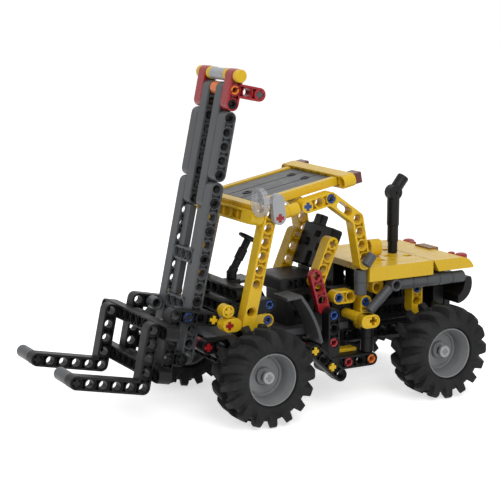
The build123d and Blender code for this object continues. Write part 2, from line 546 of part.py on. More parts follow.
nodes["hood_tubes"] = both_sides(lambda s: rod((BUMPER_IN + 0.06, EDGE_TUBE_Z), tube_front, s * EDGE_Y))
BRACE_R = 3.0
brace_top, brace_low = (tube_front[0] + 0.28, EDGE_TUBE_Z - 0.1), (TUBE_X - 1.13, 3.0)
nodes["hood_tubes"] += both_sides(lambda s: rod(brace_top, brace_low, s * EDGE_Y, BRACE_R))
PEG_X = HOOD_FRONT + SEAT + BUSH_R / PITCH             # pegs between the hood's edges and the arms' feet
peg_low, peg_top = (PEG_X, 4.38), (PEG_X, arm_foot[1] - HALF - SEAT)
nodes["hood_tubes"] += both_sides(lambda s: rod(peg_low, peg_top, s * EDGE_Y))
clip_low, clip_top, CLIP_Y = (-9.25, 6.70), (-9.85, 7.45), EDGE_Y + HALF + SEAT + BRACE_R / PITCH
nodes["hood_tubes"] += both_sides(lambda s: rod(clip_low, clip_top, s * CLIP_Y, BRACE_R))
bumper_in, bumper_out = (BUMPER_IN, BUMPER_TOP), (REAR_END, BUMPER_TOP)
bumper_foot, bumper_toe = (BUMPER_FOOT, BUMPER_LOW + 0.6), (BUMPER_FOOT, BUMPER_LOW)
bumper_edges = path(bumper_in, bumper_out)
bumper_edges += bow(bumper_out, (REAR_END + 0.2, BUMPER_LOW + 0.55), bumper_toe)
bumper_edges += path(bumper_toe, bumper_foot)
bumper_edges += bow(bumper_foot, (BUMPER_IN + 0.13, BUMPER_LOW + 1.0), bumper_in)
bumper = slab(bumper_edges, -EDGE_Y - 0.2, EDGE_Y + 0.2)
bumper += block((BUMPER_IN, BUMPER_FOOT), (-FLOOR_Y, FLOOR_Y), (DECK_Z, BUMPER_LOW + 0.2))
nodes["rear_bumper"] = [bumper]
PIPE_X, PIPE_Y = REAR_X + 0.3, 0.4
PIPE_LOW, PIPE_KINK, PIPE_LEAN = HOOD_TOP_Z + SEAT, HOOD_TOP_Z + 4.7, 38
pipe_r, wide_r, kink_r, kink_w, tip_l = 2.7, 3.3, 4.4, 5.6, 10.5
kink = (PIPE_X, PIPE_KINK)
tip_rise, tip_back = tip_l / PITCH * cos(radians(PIPE_LEAN)), tip_l / PITCH * sin(radians(PIPE_LEAN))
tip_end = (PIPE_X - tip_back, PIPE_KINK + tip_rise)
pipe = rod((PIPE_X, PIPE_LOW), kink, PIPE_Y, pipe_r) + rod((PIPE_X, PIPE_LOW + 1.9), kink, PIPE_Y, wide_r)
pipe += rod(kink, tip_end, PIPE_Y, wide_r)
nodes["exhaust"] = [pipe + spot(PIPE_X, PIPE_Y, PIPE_KINK) * Pos(0, kink_w / 2, 0) * drum(kink_r, kink_w)]

# The model stands on the ground, with the origin under the middle of its length
tip_x = mast_xz(FORK_TIP, FORK_B)[0] * PITCH + BEAM / 2
SHIFT = -(tip_x + REAR_END * PITCH) / 2
os.makedirs("parts", exist_ok=True)
for name, solids in nodes.items():
    placed = [Pos(SHIFT, 0, TYRE_R) * solid for solid in solids]
    body = placed[0] if len(placed) == 1 else Compound(children=placed)
    export_step(body, "parts/" + name + ".step")
pivot = (PIVOT_X * PITCH + SHIFT, PIVOT_Z * PITCH + TYRE_R)
print("nodes", len(nodes), "shift", round(SHIFT, 4), "pivot", [round(value, 4) for value in pivot])
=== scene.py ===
"""Looks of a toy rough terrain forklift: moulded beams, pins, axles, tyres and panels."""

import json
from math import asin, atan2, cos, degrees, hypot, pi, radians, sin

import bmesh
import bpy
from mathutils import Matrix, Vector
from mathutils.geometry import tessellate_polygon


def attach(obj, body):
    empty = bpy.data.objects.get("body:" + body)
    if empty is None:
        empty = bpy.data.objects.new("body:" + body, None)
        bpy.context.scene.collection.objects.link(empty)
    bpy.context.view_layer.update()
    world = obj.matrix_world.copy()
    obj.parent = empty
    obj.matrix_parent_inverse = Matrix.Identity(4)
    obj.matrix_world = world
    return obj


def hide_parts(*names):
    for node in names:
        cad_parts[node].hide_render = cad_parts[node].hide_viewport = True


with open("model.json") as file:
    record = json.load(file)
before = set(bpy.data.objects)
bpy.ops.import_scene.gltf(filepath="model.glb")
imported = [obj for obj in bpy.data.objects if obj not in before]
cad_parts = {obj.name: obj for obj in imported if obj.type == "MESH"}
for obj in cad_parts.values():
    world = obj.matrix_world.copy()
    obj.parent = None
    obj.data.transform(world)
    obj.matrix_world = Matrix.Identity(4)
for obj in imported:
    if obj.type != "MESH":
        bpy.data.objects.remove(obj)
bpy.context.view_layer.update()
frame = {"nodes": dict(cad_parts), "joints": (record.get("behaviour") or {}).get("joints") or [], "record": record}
record = frame["record"]
joints = {joint["name"]: joint for joint in frame["joints"]}
body_of_node = {node: body for body, nodes in record["behaviour"]["bodies"].items() for node in nodes}
slot_of_node = {part["node"]: part["material_slot"] for part in record["subparts"]}
scene = bpy.context.scene

MM = 0.001  # in metres

# Sizes in millimetres
PITCH = 8.0  # from hole to hole
BEAM = 7.8  # width and thickness of a beam
FACE = BEAM / 2  # from a beam's middle to its face
THIN = BEAM / 2  # thickness of a thin beam
EDGE = 0.3  # rounding of moulded edges
BULGE = 0.3  # how far a rounded edge's middle lies inside its corner, as a share of EDGE
BORE_R = 2.42
SINK_R = 3.1  # counterbore that takes a pin's collar
SINK_D = 0.85
HOLE_D = 3.2  # depth of a blind hole
RING_R = 3.5  # wall round a hole
POCKET_HALF = 2.65  # recess between two holes
POCKET_D = 2.3
CROSS_HALF = 2.38  # reach and half width of a cross axle's arms
CROSS_ARM = 0.92
CROSS_PLAY = 0.1  # room round a cross axle in its hole
CROSS_D = 3.0  # depth of a cross axle's end in its hole
BUSH_R = 3.7
BUSH_L = 7.4
TUBE_BORE = 2.4
WELD_D = 0.002  # points closer than this are one

# Sizes in pitches
HALF = FACE / PITCH  # half a beam
THIN_HALF = THIN / PITCH / 2
SEAT = 0.02  # gap between pieces that rest on each other
REST = HALF + SEAT
INNER_Y, COLUMN_Y, SIDE_Y, EDGE_Y = 1, 2, 3, 4  # planes of the beams beside the middle
SIDE_OUT = SIDE_Y + HALF
SIDES = (1, -1)

ROUND = 28  # steps round a full circle
FINE_ROUND = 48
ARC_STEP = 15.0  # degrees from point to point round a beam's end
NEAR = 0.05  # a hole this close to a run lies on it, in pitches
TINY = 1e-6  # smaller turns are straight
SHARP = radians(32)  # wider angles between faces stay sharp


def turned(degree, axis):
    return Matrix.Rotation(radians(degree), 4, axis)


def moved(x, y, z):
    return Matrix.Translation((x, y, z))


def flipped(side):
    """A mirror for the right side, -1."""
    return Matrix.Diagonal((1, side, 1, 1))


# The chassis grid starts in the middle of the front axle, the mast grid at the mast's top axle
front_hub = Vector(joints["front_left_spin"]["pos_m"]) / MM
pivot = Vector(joints["mast_tilt"]["pos_m"]) / MM
rise = joints["carriage_lift"]["axis"]
MAST_LEAN = degrees(atan2(-rise[0], rise[2]))
PIVOT_A, PIVOT_B = -1, 19  # the mast's pivot on its own grid
PIVOT = moved(*pivot)
MAST = PIVOT @ turned(-MAST_LEAN, "Y") @ moved(-PIVOT_A * PITCH, 0, PIVOT_B * PITCH)
CHASSIS = moved(front_hub.x, 0, front_hub.z)


def spot(x, y, z, turn=0.0):
    """A place on the chassis grid, in pitches, turned about the lateral axis."""
    return CHASSIS @ moved(x * PITCH, y * PITCH, z * PITCH) @ turned(turn, "Y")


def mast(a, b, y=0.0):
    """A place on the mast grid, in pitches: a forward, b down from the top axle."""
    return MAST @ moved(a * PITCH, y * PITCH, -b * PITCH)


def around(middle, half=HALF):
    return middle - half, middle + half


def span(side, near, far):
    """Limits between two distances from the middle, on one side."""
    return sorted((side * near, side * far))


class Form:
    """Points in millimetres and faces, gathered until one mesh is made of them."""

    def __init__(self):
        self.points = []
        self.faces = []

    def add(self, points, faces):
        first = len(self.points)
        self.points += [Vector(point) for point in points]
        self.faces += [[first + index for index in face] for face in faces]
        return self

    def join(self, other, place=Matrix()):
        return self.add([place @ point for point in other.points], other.faces)


def put(form, place):
    """A copy of a form at a place."""
    return Form().join(form, place)


def gather(form, places):
    """Copies of one form at several places."""
    total = Form()
    for place in places:
        total.join(form, place)
    return total


def pair(form, y, place=CHASSIS):
    """The same form in the planes y and -y."""
    return gather(form, [place @ moved(0, side * y * PITCH, 0) for side in SIDES])


def skin(form, loops, caps=()):
    """Quads between closed loops of equal length; caps lists the loops, 0 or -1, that get a flat face."""
    count = len(loops[0])
    points = [point for loop in loops for point in loop]
    faces = []
    for row in range(len(loops) - 1):
        for step in range(count):
            after = (step + 1) % count
            faces.append((row * count + step, row * count + after,
                          (row + 1) * count + after, (row + 1) * count + step))
    for cap in caps:
        start = 0 if cap == 0 else (len(loops) - 1) * count
        faces.append(range(start, start + count))
    return form.add(points, faces)


def in_mm(points):
    """Points of a grid, (x, z) in pitches, in millimetres."""
    return [(x * PITCH, z * PITCH) for x, z in points]


def level(loop, y):
    """An outline in XZ at the height y."""
    return [(x, y, z) for x, z in loop]


def mirrored(steps):
    """Steps at y, followed by the same steps back at -y."""
    return steps + [(step, -y) for step, y in reversed(steps)]


def circle(radius, centre=(0, 0), count=ROUND):
    turns = [2 * pi * step / count for step in range(count)]
    return [(centre[0] + radius * cos(turn), centre[1] + radius * sin(turn)) for turn in turns]


def revolve(profile, closed=False, caps=(), count=ROUND, place=Matrix()):
    """A body of revolution about Y from (radius, y) pairs."""
    loops = [level(circle(radius, count=count), y) for radius, y in profile]
    if closed:
        loops.append(loops[0])
    return put(skin(Form(), loops, caps), place)


def sector(profile, start, end, count):
    """A closed profile of (radius, y) pairs swept about Y between two angles, with flat ends."""
    loops = []
    for step in range(count + 1):
        at = start + (end - start) * step / count
        loops.append([(radius * cos(at), y, radius * sin(at)) for radius, y in profile])
    return skin(Form(), loops, (0, -1))


def outline(runs, half):
    """Points round a tree of runs at the distance half: arcs outside, plain corners inside."""
    links = {}
    for start, end in runs:
        links.setdefault(start, []).append(end)
        links.setdefault(end, []).append(start)
    first = runs[0]
    here, there = first
    points = []
    while True:
        heading = atan2(there[1] - here[1], there[0] - here[0])
        turns = []
        for end in links[there]:
            turn = (atan2(end[1] - there[1], end[0] - there[0]) - heading - pi) % (2 * pi)
            turns.append((turn if turn > TINY else 2 * pi, end))
        turn, end = min(turns)
        bend = turn - pi
        centre = (there[0] * PITCH, there[1] * PITCH)
        if bend > TINY:
            count = max(1, round(degrees(bend) / ARC_STEP))
            for step in range(count + 1):
                at = heading - pi / 2 + bend * step / count
                points.append((centre[0] + half * cos(at), centre[1] + half * sin(at)))
        elif bend < -TINY:
            at = heading - pi / 2 + bend / 2
            reach = half / cos(bend / 2)
            points.append((centre[0] + reach * cos(at), centre[1] + reach * sin(at)))
        here, there = there, end
        if (here, there) == first:
            return points


def cross_outline(reach=CROSS_HALF, arm=CROSS_ARM, centre=(0, 0)):
    corner = [(reach, arm), (arm, arm), (arm, reach)]
    points = []
    for quarter in range(4):
        for x, z in corner:
            for _ in range(quarter):
                x, z = -z, x
            points.append((centre[0] + x, centre[1] + z))
    return points


def rectangle(x, z, inset=0.0):
    """The corners between two limits on X and Z, in pitches, drawn in by inset."""
    low_x, high_x = x[0] * PITCH + inset, x[1] * PITCH - inset
    low_z, high_z = z[0] * PITCH + inset, z[1] * PITCH - inset
    return [(low_x, low_z), (high_x, low_z), (high_x, high_z), (low_x, high_z)]


def rounded(x, z, radius, inset=0.0):
    """A rectangle with round corners, its outline drawn in by inset."""
    points = []
    low_left, low_right, high_right, high_left = rectangle(x, z, radius)
    for quarter, centre in enumerate((high_right, high_left, low_left, low_right)):
        for step in range(5):
            at = pi / 2 * (quarter + step / 4)
            points.append((centre[0] + (radius - inset) * cos(at), centre[1] + (radius - inset) * sin(at)))
    return points


def pocket(start, end):
    """The recess between two neighbouring holes, round beside their rings."""
    along = Vector((end[0] - start[0], end[1] - start[1])).normalized()
    across = Vector((-along.y, along.x))
    reach = asin(POCKET_HALF / RING_R)
    points = []
    for centre, heading in ((start, 0.0), (end, pi)):
        for step in range(-3, 4):
            at = heading + reach * step / 3
            points.append(Vector(centre) + RING_R * (cos(at) * along + sin(at) * across))
    return [(point.x, point.y) for point in points]


def flat(form, y, outer, openings=()):
    """A flat face at y with openings in it."""
    loops = [outer] + list(openings)
    points = [point for loop in loops for point in level(loop, y)]
    triangles = tessellate_polygon([[Vector((x, z, 0)) for x, z in loop] for loop in loops])
    return form.add(points, triangles)


def wall(form, opening, y_from, y_to, caps=()):
    return skin(form, [level(opening, y) for y in (y_from, y_to)], caps)


def plate(outer, inner, thick, openings=(), back_openings=()):
    """A plate in XZ with rounded edges: outer is its outline, inner the same outline drawn in by EDGE."""
    half = thick / 2
    middle = [((1 - BULGE) * p[0] + BULGE * q[0], (1 - BULGE) * p[1] + BULGE * q[1])
              for p, q in zip(outer, inner)]
    steps = mirrored([(inner, half), (middle, half - BULGE * EDGE), (outer, half - EDGE)])
    form = skin(Form(), [level(loop, y) for loop, y in steps])
    flat(form, half, inner, openings)
    flat(form, -half, inner, back_openings)
    return form


def bar(runs, thick=BEAM, openings=(), back_openings=()):
    """A plate one beam wide along a tree of runs."""
    return plate(outline(runs, FACE), outline(runs, FACE - EDGE), thick, openings, back_openings)


def neighbours(runs, centres):
    """Pairs of holes one pitch apart along a run."""
    pairs = []
    for start, end in runs:
        run = Vector((end[0] - start[0], end[1] - start[1]))
        on_run = []
        for centre in centres:
            offset = Vector((centre[0] / PITCH - start[0], centre[1] / PITCH - start[1]))
            along = offset.dot(run) / run.length
            if abs(offset.cross(run)) / run.length < NEAR and -NEAR < along < run.length + NEAR:
                on_run.append((along, centre))
        on_run.sort()
        pairs += [(low[1], high[1]) for low, high in zip(on_run, on_run[1:])
                  if abs(high[0] - low[0] - 1) < 2 * NEAR]
    return pairs


def liftarm(runs, holes=(), crosses=(), slots=(), thick=BEAM):
    """A moulded beam: pin holes with counterbores, cross holes, slots, and recesses between neighbours."""
    half = thick / 2
    sink = min(SINK_D, thick / 4)
    depth = min(POCKET_D, thick / 3)
    centres, cross_centres = in_mm(holes), in_mm(crosses)
    mouths = [circle(SINK_R, centre) for centre in centres]
    through = [cross_outline(CROSS_HALF + CROSS_PLAY, CROSS_ARM + CROSS_PLAY, centre)
               for centre in cross_centres]
    through += [outline([slot], BORE_R) for slot in slots]
    pockets = [pocket(start, end) for start, end in neighbours(runs, centres + cross_centres)]
    cuts = mouths + through + pockets
    form = bar(runs, thick, cuts, cuts)
    bore = mirrored([(SINK_R, half), (SINK_R, half - sink), (BORE_R, half - sink)])
    for centre in centres:
        skin(form, [level(circle(radius, centre), y) for radius, y in bore])
    for opening in through:
        wall(form, opening, half, -half)
    for opening in pockets:
        for side in SIDES:
            wall(form, opening, side * half, side * (half - depth), (-1,))
    return form


def straight(start, end, holes, crosses=()):
    """A beam along X between two places, with holes at places along it."""
    return liftarm([((start, 0), (end, 0))], [(x, 0) for x in holes], [(x, 0) for x in crosses])


def beam(count, crosses=()):
    """A straight beam along X, bored at every pitch."""
    return straight(0, count - 1, [x for x in range(count) if x not in crosses], crosses)


def cross_beam(half):
    """A beam along Y with its end holes half pitches each side of the middle, bored along X."""
    return put(straight(-half, half, range(-half, half + 1)), turned(90, "Z"))


def drilled(x, half_y, z, hole_xs, hole_zs, radius=0.8):
    """A box over the middle plane, in pitches, with rows of blind holes in both sides, recesses between."""
    half = half_y * PITCH
    centres = in_mm([(hole_x, hole_z) for hole_z in hole_zs for hole_x in hole_xs])
    pockets = [pocket(start, end) for start, end in zip(centres, centres[1:]) if start[1] == end[1]]
    mouths = [circle(SINK_R, centre) for centre in centres] + pockets
    form = plate(rounded(x, z, radius), rounded(x, z, radius, EDGE), 2 * half, mouths, mouths)
    bore = [(SINK_R, half), (SINK_R, half - SINK_D), (BORE_R, half - SINK_D), (BORE_R, half - HOLE_D)]
    for side in SIDES:
        for centre in centres:
            skin(form, [level(circle(reach, centre), side * y) for reach, y in bore], (-1,))
        for opening in pockets:
            wall(form, opening, side * half, side * (half - POCKET_D), (-1,))
    return form


def block(x, y, z):
    """A box with rounded edges between two limits on each axis, in pitches."""
    low = [axis[0] * PITCH for axis in (x, y, z)]
    high = [axis[1] * PITCH for axis in (x, y, z)]
    bm = bmesh.new()
    bmesh.ops.create_cube(bm, size=1.0)
    for vert in bm.verts:
        vert.co = [low[i] + (vert.co[i] + 0.5) * (high[i] - low[i]) for i in range(3)]
    bmesh.ops.bevel(bm, geom=bm.edges[:], offset=EDGE, segments=2, profile=0.5, affect="EDGES")
    bm.verts.index_update()
    faces = [[vert.index for vert in face.verts] for face in bm.faces]
    form = Form().add([vert.co.copy() for vert in bm.verts], faces)
    bm.free()
    return form


def axle(y_from, y_to):
    """A cross axle along Y between two places in pitches."""
    low, high = y_from * PITCH, y_to * PITCH
    steps = [(CROSS_HALF - EDGE, low), (CROSS_HALF, low + EDGE),
             (CROSS_HALF, high - EDGE), (CROSS_HALF - EDGE, high)]
    return skin(Form(), [level(cross_outline(reach), y) for reach, y in steps], (0, -1))


def cross_end(side, proud=0.15):
    """The end of a cross axle in its hole, facing side."""
    steps = [(CROSS_HALF, -CROSS_D), (CROSS_HALF, proud - EDGE), (CROSS_HALF - EDGE, proud)]
    return skin(Form(), [level(cross_outline(reach), side * y) for reach, y in steps], (0, -1))


pin_line = [  # radius and height over the beam's face of a hollow pin's end
    (1.5, -3.2), (1.5, -0.35), (1.65, -0.2), (2.5, -0.2), (2.66, -0.38), (2.66, -0.8), (2.38, -1.0),
    (2.38, -3.2),
]
PIN_SLOT = 0.2  # half the angle of the slot across a pin, in radians
PIN_TURN = 35


def pin_end(side):
    """The slotted end of a hollow pin in its hole, its face just under the beam's, facing side."""
    profile = [(radius, side * y) for radius, y in pin_line]
    form = Form()
    for start in (0.0, pi):
        half_ring = sector(profile, start + PIN_SLOT, start + pi - PIN_SLOT, 12)
        form.join(half_ring, turned(PIN_TURN, "Y"))
    return form


TUBE_D, TUBE_LIP = 3.0, 0.4  # depth of a tube's open ends, rounding of their rims
tube_groove = [(0.0, -0.35), (-0.3, -0.2), (-0.3, 0.2), (0.0, 0.35)]  # change of radius, place along it


def tube(start, end, radius=BUSH_R, bore=TUBE_BORE, ribs=0):
    """A hollow tube in the middle plane between two places (x, z); ribs are shallow grooves round it."""
    dx, dz = end[0] - start[0], end[1] - start[1]
    length = hypot(dx, dz) * PITCH
    mouth = [(bore, TUBE_D), (bore, EDGE), (bore + EDGE, 0.0)]
    mouth += [(radius - TUBE_LIP, 0.0), (radius, TUBE_LIP)]
    profile = list(mouth)
    for rib in range(ribs):
        at = length * (rib + 1) / (ribs + 1)
        profile += [(radius + change, at + along) for change, along in tube_groove]
    profile += [(r, length - along) for r, along in reversed(mouth)]
    place = moved(start[0] * PITCH, 0, start[1] * PITCH) @ turned(degrees(atan2(dx, dz)), "Y")
    return revolve(profile, caps=(0, -1), place=place @ turned(90, "X"))


BUSH_BEVEL, BUSH_EDGE = 0.5, 0.45


def bush(width, radius=BUSH_R, bore=CROSS_HALF):
    """A ring on an axle along Y, with a bevelled bore and rounded edges."""
    half = width / 2
    profile = [(bore, half - BUSH_BEVEL), (bore + BUSH_BEVEL, half),
               (radius - BUSH_EDGE, half), (radius, half - BUSH_EDGE)]
    return revolve(mirrored(profile), closed=True)


# Materials
NOISE_MIDDLE = (0.3, 0.7)  # where most values of a noise lie


def shader(name, rough):
    """A new material, its node tree and its shader."""
    material = bpy.data.materials.new(name)
    material.use_nodes = True
    principled = material.node_tree.nodes["Principled BSDF"]
    principled.inputs["Roughness"].default_value = rough
    return material, material.node_tree, principled


def feed(tree, node, inputs):
    """Fills a node's inputs: another node's output is linked, anything else is set as the value."""
    for socket, value in inputs.items():
        if isinstance(value, bpy.types.NodeSocket):
            tree.links.new(value, node.inputs[socket])
        else:
            node.inputs[socket].default_value = value


def noise(tree, scale, detail=4.0, rough=0.55):
    place = tree.nodes.new("ShaderNodeTexCoord").outputs["Object"]
    texture = tree.nodes.new("ShaderNodeTexNoise")
    feed(tree, texture, {"Vector": place, "Scale": scale, "Detail": detail, "Roughness": rough})
    return texture.outputs["Fac"]


def stretch(tree, value, low=0.0, high=1.0, between=NOISE_MIDDLE):
    """A value's range, given by between, stretched from low to high."""
    ramp = tree.nodes.new("ShaderNodeMapRange")
    feed(tree, ramp, {"Value": value, "From Min": between[0], "From Max": between[1]})
    feed(tree, ramp, {"To Min": low, "To Max": high})
    return ramp.outputs["Result"]


def tint(tree, value, dark, light):
    mix = tree.nodes.new("ShaderNodeMix")
    mix.data_type = "RGBA"
    feed(tree, mix, {"Factor": value, "A": (*dark, 1), "B": (*light, 1)})
    return mix.outputs["Result"]


def grain(tree, value, strength, distance):
    bump = tree.nodes.new("ShaderNodeBump")
    feed(tree, bump, {"Height": value, "Strength": strength, "Distance": distance})
    return bump.outputs["Normal"]


def plastic(name, color, rough=0.3, shade=0.9, gloss=0.5):
    """Moulded plastic: faint flow marks in the colour, uneven polish and a fine skin."""
    material, tree, principled = shader(name, rough)
    dark = [channel * shade for channel in color]
    feed(tree, principled, {
        "Base Color": tint(tree, stretch(tree, noise(tree, scale=55.0)), dark, color),
        "Roughness": stretch(tree, noise(tree, scale=160.0), rough - 0.05, rough + 0.07),
        "Normal": grain(tree, noise(tree, scale=220.0, detail=2.0), strength=0.02, distance=0.0002),
        "Specular IOR Level": gloss,
    })
    return material


def rubber(name, color):
    """Tyre rubber: matt and grainy, with paler dust in patches."""
    material, tree, principled = shader(name, rough=0.7)
    pale = [channel * 1.7 + 0.003 for channel in color]
    feed(tree, principled, {
        "Base Color": tint(tree, stretch(tree, noise(tree, scale=90.0, detail=6.0)), color, pale),
        "Roughness": stretch(tree, noise(tree, scale=240.0), 0.58, 0.78),
        "Normal": grain(tree, noise(tree, scale=1800.0, detail=3.0), strength=0.25, distance=0.0003),
        "Specular IOR Level": 0.14,
    })
    return material


def clear(name):
    """Clear moulded plastic, greyish, with a faint uneven polish."""
    material, tree, principled = shader(name, rough=0.08)
    feed(tree, principled, {
        "Base Color": (0.46, 0.47, 0.5, 1),
        "Alpha": 0.38,
        "Specular IOR Level": 0.8,
        "Roughness": stretch(tree, noise(tree, scale=120.0), 0.05, 0.12),
    })
    return material


paints = {
    "tyre": rubber("tyre_rubber", (0.0125, 0.0125, 0.013)),
    "rim_grey": plastic("rim_plastic", (0.20, 0.205, 0.21), rough=0.36),
    "dark_grey": plastic("dark_grey_plastic", (0.080, 0.083, 0.088), rough=0.36, gloss=0.25),
    "black": plastic("black_plastic", (0.008, 0.008, 0.0085), rough=0.42, shade=0.8, gloss=0.2),
    "yellow": plastic("yellow_plastic", (0.72, 0.46, 0.016), rough=0.27, shade=0.95, gloss=0.3),
    "red": plastic("red_plastic", (0.33, 0.011, 0.017), rough=0.28, gloss=0.4),
    "light_grey": plastic("light_grey_plastic", (0.36, 0.37, 0.385)),
    "dark_red": plastic("dark_red_plastic", (0.105, 0.016, 0.014), rough=0.28),
    "orange": plastic("orange_plastic", (0.72, 0.17, 0.018)),
    "brown": plastic("brown_plastic", (0.24, 0.11, 0.035), rough=0.32),
    "blue": plastic("blue_plastic", (0.009, 0.055, 0.235), rough=0.28, gloss=0.35),
    "clear": clear("clear_plastic"),
}


def settle(name, mesh, paint, body, stands_for=()):
    """A piece of the scene from a mesh: shaded, painted and set on its body."""
    mesh.polygons.foreach_set("use_smooth", [True] * len(mesh.polygons))
    mesh.set_sharp_from_angle(angle=SHARP)
    mesh.materials.clear()
    mesh.materials.append(paints[paint])
    piece = bpy.data.objects.new(name, mesh)
    scene.collection.objects.link(piece)
    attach(piece, body)
    if stands_for:
        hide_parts(*stands_for)
    return piece


def flatten(piece):
    """Keeps wide faces flat in the shading beside rounded edges."""
    piece.modifiers.new("flat_faces", "WEIGHTED_NORMAL").keep_sharp = True


def dress(name, form, paint, body="chassis", stands_for=()):
    """One piece of the scene from a form, welded."""
    bm = bmesh.new()
    verts = [bm.verts.new(point) for point in form.points]
    for face in form.faces:
        bm.faces.new([verts[index] for index in face])
    bmesh.ops.remove_doubles(bm, verts=bm.verts[:], dist=WELD_D)
    bmesh.ops.dissolve_degenerate(bm, edges=bm.edges[:], dist=WELD_D / 4)
    bmesh.ops.recalc_face_normals(bm, faces=bm.faces[:])
    bmesh.ops.scale(bm, vec=(MM, MM, MM), verts=bm.verts[:])
    mesh = bpy.data.meshes.new(name)
    bm.to_mesh(mesh)
    bm.free()
    flatten(settle(name, mesh, paint, body, stands_for))


def dress_node(node, form):
    """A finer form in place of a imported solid, in the solid's own finish."""
    dress(node + "_moulded", form, slot_of_node[node], body_of_node[node], (node,))


# Wheels, drawn with the outer face at y = 0 and the rest along -Y
TYRE_W = 25.4
TYRE_OUT, RIM_FACE, CAP_FACE = 62.0, 60.0, 55.95  # planes of the outer faces
TYRE_STEPS, RIM_STEPS = 96, 64
LUGS = 16
LUG_DOWN, LUG_IN, LUG_ASIDE = 0.35, 0.1, 0.25  # rounding of a lug's edges
tyre_wall = [  # radius, y of the carcass from bead to the middle of the tread
    (15.25, -2.2), (15.9, -1.1), (17.4, -0.45), (19.4, -0.6), (21.4, -1.3), (23.0, -2.6), (24.2, -4.8),
    (24.7, -8.5),
]
lug_line = [  # top radius, top y, base radius, base y, angle, half top, half base
    (28.0, -12.1, 24.2, -12.1, 8.6, 1.45, 2.3),
    (28.0, -8.2, 24.3, -8.2, 5.4, 1.6, 2.5),
    (27.9, -4.6, 23.9, -4.6, 2.5, 1.8, 2.8),
    (27.3, -1.9, 23.0, -2.9, 0.7, 1.95, 3.0),
    (25.8, -0.35, 22.2, -2.1, -0.5, 2.05, 3.1),
    (23.2, 0.0, 21.0, -1.5, -1.6, 2.05, 3.1),
    (20.9, -0.15, 19.6, -1.0, -2.5, 1.9, 2.9),
    (18.8, -0.35, 18.2, -0.8, -3.2, 1.4, 2.2),
]
rim_line = [  # radius, y
    (2.5, -8.8), (4.6, -8.8), (5.0, -9.2), (5.2, -10.9), (9.8, -10.9), (10.0, -10.1), (10.6, -10.1),
    (10.8, -10.7), (11.6, -10.5), (12.1, -5.4), (12.5, -4.6), (13.8, -0.8), (14.2, -0.1), (14.7, 0.0),
    (15.0, -0.4), (15.1, -1.2), (15.1, -19.6), (13.4, -20.0), (13.3, -15.0), (5.2, -15.0), (5.2, -20.0),
    (2.5, -20.0),
]
cap_line = [(0.1, -2.2), (3.2, -2.2), (3.5, -1.9), (3.5, -0.3), (3.2, 0.0), (0.1, 0.0)]  # radius, y


def lug():
    """One lug from the middle of the tread out over the shoulder, as a bar with sloped flanks."""
    loops = []
    for top_r, top_y, base_r, base_y, angle, half_top, half_base in lug_line:
        flank = [(base_r, base_y, half_base),
                 (top_r - LUG_DOWN, top_y - LUG_IN, half_top + LUG_ASIDE),
                 (top_r, top_y, half_top)]
        loop = []
        for radius, y, offset in [(r, y, -offset) for r, y, offset in flank] + flank[::-1]:
            at = radians(angle) + offset / radius
            loop.append((radius * sin(at), y, radius * cos(at)))
        loops.append(loop)
    return skin(Form(), loops, (0, -1))


def tyre():
    """The carcass with two rows of lugs, half a step apart."""
    profile = tyre_wall + [(radius, -TYRE_W - y) for radius, y in reversed(tyre_wall)]
    form = revolve(profile, closed=True, count=TYRE_STEPS)
    outer = lug()
    inner = put(outer, moved(0, -TYRE_W, 0) @ flipped(-1))
    step = 360 / LUGS
    for index in range(LUGS):
        form.join(outer, turned(180 + index * step, "Y"))
        form.join(inner, turned(180 + (index + 0.5) * step, "Y"))
    return form


tyre_form = tyre()
rim_form = revolve(rim_line, closed=True, count=RIM_STEPS)
cap_form = revolve(cap_line, closed=True)
cap_cross = cross_end(1, proud=0.06)
for wheel in ("front_left", "front_right", "rear_left", "rear_right"):
    end, hand = wheel.split("_")
    hub = Vector(joints[wheel + "_spin"]["pos_m"]) / MM
    hub_place = moved(hub.x, 0, hub.z) @ flipped(1 if hub.y > 0 else -1)
    carrier = "chassis" if end == "front" else "knuckle_" + hand
    dress_node("tyre_" + wheel, put(tyre_form, hub_place @ moved(0, TYRE_OUT, 0)))
    dress_node("rim_" + wheel, put(rim_form, hub_place @ moved(0, RIM_FACE, 0)))
    cap_place = hub_place @ moved(0, CAP_FACE, 0)
    dress("hub_cap_" + wheel, put(cap_form, cap_place), "light_grey", carrier)
    dress("hub_cross_" + wheel, put(cap_cross, cap_place), "rim_grey", carrier)

# Mast: columns, top arms with axle, bushes and roller, spreaders and strips
DOWN = turned(90, "Y")
columns = Form()
for first, count in ((3, 5), (8, 13)):
    columns.join(pair(beam(count), COLUMN_Y, mast(0, first) @ DOWN))
dress_node("mast_columns", columns)
INNER_TOP, INNER_COUNT = 1, 9
dress_node("mast_inner_columns", pair(beam(INNER_COUNT), INNER_Y, mast(0, INNER_TOP) @ DOWN))
arm_tail = (-2, -1)
top_runs = [((0, 0), (0, -1)), ((0, -1), (0, -2)), ((0, -1), arm_tail)]
top_arm = liftarm(top_runs, [(0, -1), (0, -2), (-1, -1)], [(0, 0), arm_tail])
dress_node("mast_top_arms", pair(top_arm, COLUMN_Y, MAST))
AXLE_END = 3
dress_node("mast_top_axle", put(axle(-AXLE_END, AXLE_END), MAST))
TOP_BUSH_W = 3.8
end_ring = revolve([(2.3, 0.0), (2.6, 0.0), (3.1, 0.12), (3.3, 0.0)], caps=(0,))
top_bushes = gather(bush(TOP_BUSH_W), [mast(0, 0, y) for y in (-2.75, -1.25, 1.25, 2.75)])
top_bushes.join(pair(end_ring, AXLE_END, MAST))
dress_node("mast_top_bushes", top_bushes)
roller_line = [(2.4, 7.8), (3.3, 7.8), (3.7, 7.4), (3.7, 6.0), (3.45, 5.8)]  # radius, y of one half
dress_node("mast_top_roller", put(revolve(mirrored(roller_line), closed=True), MAST))
